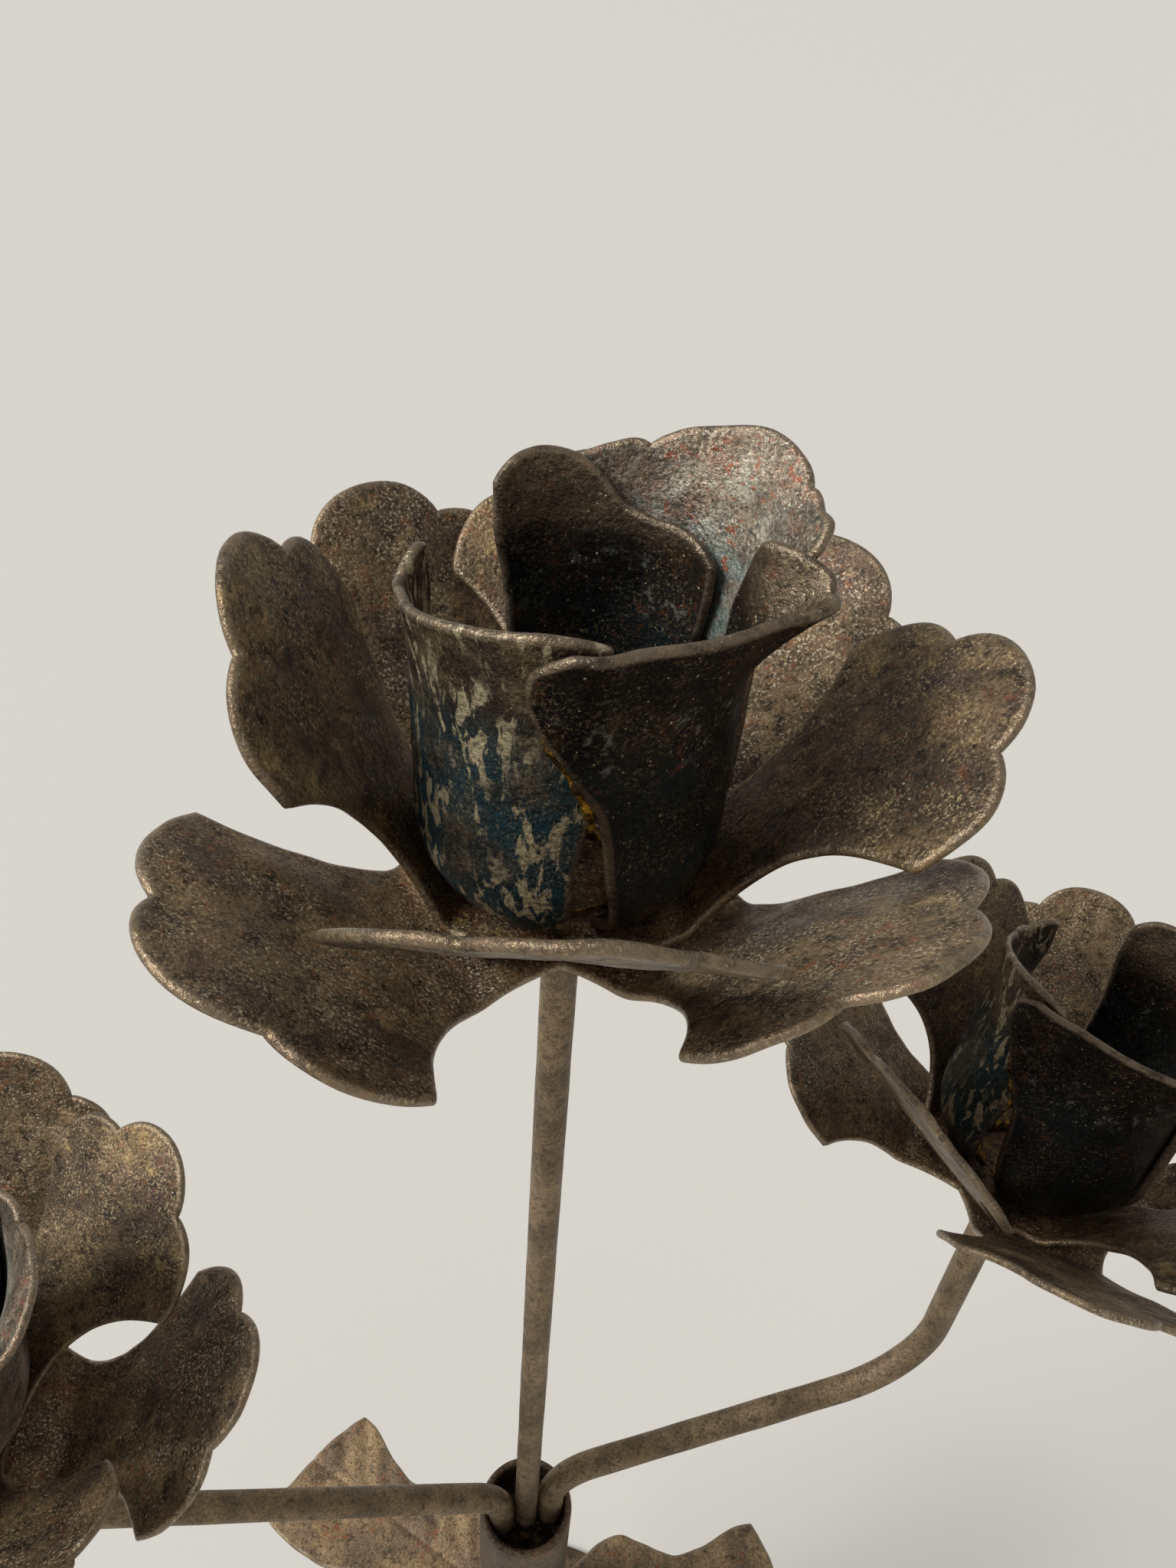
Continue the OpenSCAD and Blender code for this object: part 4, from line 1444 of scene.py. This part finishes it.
@dataclass
class Trunk:
    """The trunk tube on its round base, with its weld, its brass plug and its two leaves.

    rim_t and hub_t are the base's thickness at its edge and at the tube. A leaf's midrib starts at the share
    leaf_root of its reach, and leaf_inset keeps its grid inside the round rim.
    """

    base_r: float = 52.0
    rim_t: float = 2.5
    hub_t: float = 5.0
    outer_r: float = 8.0
    wall: float = 1.3
    mouth_h: float = 160.0
    leaf_h: float = 107.0
    leaf_reach: float = 54.0
    leaf_tilt: float = 3.0
    leaf_t: float = 1.0
    leaf_root: float = 0.16
    leaf_inset: float = 0.4
    left_leaf_azimuth: float = 152.0
    right_leaf_azimuth: float = 7.0

    def base(self) -> Surface:
        """A forged disc: flat below, hammered and slightly domed above, with a round edge.

        Height above = rim + (hub - rim)(1 - (r/base)^1.6), less the hammer marks.

        Returns:
            The disc's surface.
        """
        t = np.linspace(-0.5 * math.pi, 0.5 * math.pi, 15)
        half = self.rim_t / 2
        edge = np.stack([self.base_r - half + half * np.cos(t), half * (1 + np.sin(t))], -1)
        r = np.linspace(edge[-1, 0], 0, 90)[1:]
        dome = np.stack([r, self.rim_t + (self.hub_t - self.rim_t) * (1 - (r / self.base_r) ** 1.6)], -1)
        under = np.stack([np.linspace(0, edge[0, 0], 20)[:-1], np.zeros(19)], -1)
        body = turned(np.concatenate([under, edge, dome]), 200, False)
        p = body.points
        r = np.hypot(p[:, 0], p[:, 1])
        marks = np.minimum(hammered(p[:, :2], 8.5, 3, 30), 0.5)
        p[:, 2] -= np.where(p[:, 2] > self.rim_t * 0.9, 0.22 * (0.5 - marks) * smooth_step(r, 12, 16), 0)
        return body

    def tube(self) -> Surface:
        """The trunk: outer wall, round lip, inner wall, in one closed profile.

        Returns:
            The tube's surface.
        """
        half = self.wall / 2
        top = self.mouth_h - half
        t = np.linspace(0, math.pi, 12)[1:-1]
        lip = np.stack([self.outer_r - half + half * np.cos(t), top + half * np.sin(t)], -1)
        outer = np.stack([np.full(120, self.outer_r), np.linspace(self.hub_t, top, 120)], -1)
        inner = np.stack([np.full(30, self.outer_r - self.wall), np.linspace(top, self.hub_t, 30)], -1)
        return turned(np.concatenate([outer, lip, inner]), 96, True, dent=0.03)

    def weld(self) -> Surface:
        """The weld at the trunk's foot: a ring whose ripples follow one another round.

        Returns:
            The weld's surface.
        """
        turn = np.linspace(0, 2 * math.pi, 241)
        r = self.outer_r + 0.9
        ring = np.stack([r * np.cos(turn), r * np.sin(turn), 0 * turn + self.hub_t + 0.6], -1)
        return swept(ring, 1.35 + 0.14 * np.cos(turn * 26) + 0.08 * hammered(ring, 4, 21), 16)

    def plug(self) -> Surface:
        """Brass in the mouth: a sunken disc that rises by (r/bore)^4 where it wets the tube.

        Returns:
            The plug's surface.
        """
        r = np.linspace(0, self.outer_r - self.wall - 0.1, 30)
        z = self.mouth_h - 4 + 0.5 * (r / r[-1]) ** 4
        shape = np.concatenate([np.stack([r, z], -1), np.stack([r[::-1], 0 * r + self.mouth_h - 8], -1)])
        return turned(shape, 80, False, dent=0.12, size=2.4, seed=8)

    def leaf(self, azimuth: float, back: int, seed: int) -> Surface:
        """A leaf of sheet: rounded lobes at its root, a blunt end with two corners, folded along its midrib.

        Half width = an eased curve through lobes and hollows, one for each side. The end lies at an eased
        share of the reach across the leaf. Height = tilt - droop x^2 + fold |v| + veins.

        Args:
            azimuth: direction of the leaf, in degrees.
            back: which side of the midrib is the back half, 1 for the left and -1 for the right.
            seed: picks the hammer marks.

        Returns:
            The leaf's surface.
        """
        v = np.linspace(-1, 1, 81)
        end = eased(v, ((-1, 0.975), (-0.9, 0.993), (-0.4, 1.0), (0, 0.99), (0.5, 0.965), (1, 0.92)))
        x = self.leaf_root + (end - self.leaf_root) * np.linspace(0, 1, 120)[:, None]
        back_side = (
            *((0.142, 0.083), (0.24, 0.15), (0.33, 0.215), (0.4, 0.232), (0.5, 0.19)),
            *((0.6, 0.145), (0.7, 0.162), (0.87, 0.228), (1.0, 0.24)),
        )
        front_side = (
            *((0.142, 0.083), (0.22, 0.155), (0.32, 0.21), (0.4, 0.2), (0.48, 0.172)),
            *((0.56, 0.192), (0.68, 0.258), (0.85, 0.28), (1.0, 0.265)),
        )
        side = np.where(v > 0, eased(x, back_side), eased(x, front_side))
        half = self.leaf_reach * side - self.leaf_inset
        u, s = self.leaf_reach * x - self.leaf_inset, half * v * back
        rise = u * math.tan(math.radians(self.leaf_tilt)) + 0.8 * np.abs(v) * x - 1.0 * (x - 0.2) ** 2
        veins = 0.18 * np.cos((u - np.abs(s) * 0.8) * 1.05) * smooth_step(np.abs(v), 0.05, 0.4)
        groove = -0.35 * np.exp(-((s / 0.8) ** 2))
        a = math.radians(azimuth)
        bump = hammered(np.stack([u, s], -1), 9, seed) * 0.25
        z = self.leaf_h + 0.4 + rise + veins + groove + bump
        grid = np.stack([u * math.cos(a) - s * math.sin(a), u * math.sin(a) + s * math.cos(a), z], -1)
        normal = grid_normals(grid)
        normal *= np.sign(normal[..., 2:])
        border = grid_border(*grid.shape[:2])
        return sheet(grid, normal, np.clip(x - 0.1, 0, 1), self.leaf_t, border, True)

    def leaf_beads(self) -> Surface:
        """A short brass bead under each leaf's root.

        Returns:
            The surface of both beads.
        """
        beads = []
        for number, azimuth in enumerate((self.left_leaf_azimuth, self.right_leaf_azimuth)):
            a = math.radians(azimuth)
            t = np.linspace(-1, 1, 24)
            r = self.outer_r + 0.55
            turn = a + t * 0.28
            ring = np.stack([r * np.cos(turn), r * np.sin(turn), 0 * t + self.leaf_h + 1.5], -1)
            lumps = 1 + 0.1 * hammered(ring, 1.5, 30 + number)
            beads.append(swept(ring, 0.75 * np.sqrt(1.02 - t**2) * lumps, 12))
        return Surface.joined(beads)

    def build(self) -> None:
        """Builds and dresses every part of the trunk."""
        left = self.leaf(self.left_leaf_azimuth, -1, 71)
        right = self.leaf(self.right_leaf_azimuth, 1, 72)
        parts = (
            (self.base(), "base_plate", "base_plate_forging", Finish.TUBE, "blackened_steel"),
            (self.weld(), "base_weld", "base_weld_bead", Finish.TUBE, "blackened_steel"),
            (self.tube(), "trunk_tube", "trunk_tube_wall", Finish.TUBE, "blackened_steel"),
            # The plug sits down in the trunk's mouth, and its finish carries painted shade.
            (self.plug(), "hub_braze", "hub_brass", Finish.SHADED_BRASS, "brass_braze"),
            (left, "left_leaf", "left_leaf_blade", Finish.LEAF, "rusted_steel"),
            (right, "right_leaf", "right_leaf_blade", Finish.LEAF, "rusted_steel"),
            (self.leaf_beads(), "leaf_braze", "leaf_brass", Finish.BRASS, "brass_braze"),
        )
        for surface, node, name, finish, slot in parts:
            finish_piece(surface.to_object(name), node, finish)


@dataclass
class Studio:
    """A pale floor, soft light, and the camera close to the centre flower."""

    camera_place: tuple[float, float, float] = (1.57, -86.0, 384.9)
    pitch: float = 37.5
    roll: float = 4.2
    focal_pixels: float = 1538.0
    floor_size: float = 30.0
    floor: str = "#d0cdc6"
    key_from: tuple[float, float, float] = (-0.72, -0.2, 0.66)
    key_strength: float = 3.0
    key_spread: float = 28.0
    room_strength: float = 0.5
    room: str = "#f4f3f1"

    def stage(self) -> None:
        """The floor: a matt, nearly white board."""
        mesh = bpy.data.meshes.new("floor")
        s = self.floor_size
        mesh.from_pydata([(-s, -s, 0), (s, -s, 0), (s, s, 0), (-s, s, 0)], [], [(0, 1, 2, 3)])
        floor = bpy.data.objects.new("floor", mesh)
        bpy.context.scene.collection.objects.link(floor)
        material = bpy.data.materials.new("matt_pale_board")
        material.use_nodes = True
        tree = material.node_tree
        tree.nodes.clear()
        shader = add_node(tree, "BsdfPrincipled", {"Base Color": linear(self.floor), "Roughness": 0.8})
        add_node(tree, "OutputMaterial", {"Surface": shader.outputs[0]})
        mesh.materials.append(material)

    def lights(self) -> None:
        """A broad soft key from the front left and above, which lights the floor evenly, and an even world."""
        key = bpy.data.lights.new("soft_key", "SUN")
        key.energy = self.key_strength
        key.angle = math.radians(self.key_spread)
        lamp = bpy.data.objects.new("soft_key", key)
        lamp.rotation_euler = (-Vector(self.key_from)).to_track_quat("-Z", "Y").to_euler()
        bpy.context.scene.collection.objects.link(lamp)
        world = bpy.data.worlds.new("even_room")
        bpy.context.scene.world = world
        world.use_nodes = True
        tree = world.node_tree
        tree.nodes.clear()
        shader = add_node(tree, "Background", {"Color": linear(self.room), "Strength": self.room_strength})
        add_node(tree, "OutputWorld", {"Surface": shader.outputs[0]})

    def camera(self) -> None:
        """The camera, as close as the photograph's, with its tilt and roll."""
        data = bpy.data.cameras.new("camera")
        data.sensor_width = 36.0
        data.lens = self.focal_pixels * data.sensor_width / IMAGE_HEIGHT
        data.clip_start = 0.005
        camera = bpy.data.objects.new("camera", data)
        camera.location = [v * MM for v in self.camera_place]
        pitch, roll = math.radians(self.pitch), math.radians(self.roll)
        forward = np.array([0, math.cos(pitch), -math.sin(pitch)])
        up = np.array([0, math.sin(pitch), math.cos(pitch)])
        right = np.array([1.0, 0, 0])
        side = right * math.cos(roll) + up * math.sin(roll)
        above = up * math.cos(roll) - right * math.sin(roll)
        camera.rotation_euler = Matrix(np.stack([side, above, -forward], 1).tolist()).to_euler()
        bpy.context.scene.collection.objects.link(camera)
        bpy.context.scene.camera = camera

    def build(self) -> None:
        """Sets up the whole studio."""
        self.stage()
        self.lights()
        self.camera()
        bpy.context.scene.view_settings.view_transform = "Standard"


def main() -> None:
    """Builds the candle holder and its studio."""
    logging.basicConfig(level=logging.INFO, format="%(message)s")
    for leftover in list(bpy.data.objects):
        bpy.data.objects.remove(leftover)
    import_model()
    # Distance from the trunk's axis, azimuth and height of each flower's plates.
    places = {Hand.CENTRE: (0.0, 0.0, 308.0), Hand.LEFT: (79.9, 197.3, 231.0), Hand.RIGHT: (69.2, 15.0, 243.0)}
    # Lean, the azimuth that it goes to, and spin.
    leans = {Hand.CENTRE: (0.0, 0.0, 0.0), Hand.LEFT: (8.2, -12.7, -43.0), Hand.RIGHT: (11.4, 33.2, -61.0)}
    rods = Rods()
    Trunk().build()
    rods.build(places)
    for number, hand in enumerate(Hand):
        reach, azimuth, height = places[hand]
        a = math.radians(azimuth)
        spot = np.array([reach * math.cos(a), reach * math.sin(a), height])
        rod_r = rods.stem_r if hand is Hand.CENTRE else rods.arm_r
        Flower(hand, spot, *leans[hand], rod_r=rod_r, seed=100 * (number + 1)).build()
    Studio().build()


if __name__ == "__main__":
    main()
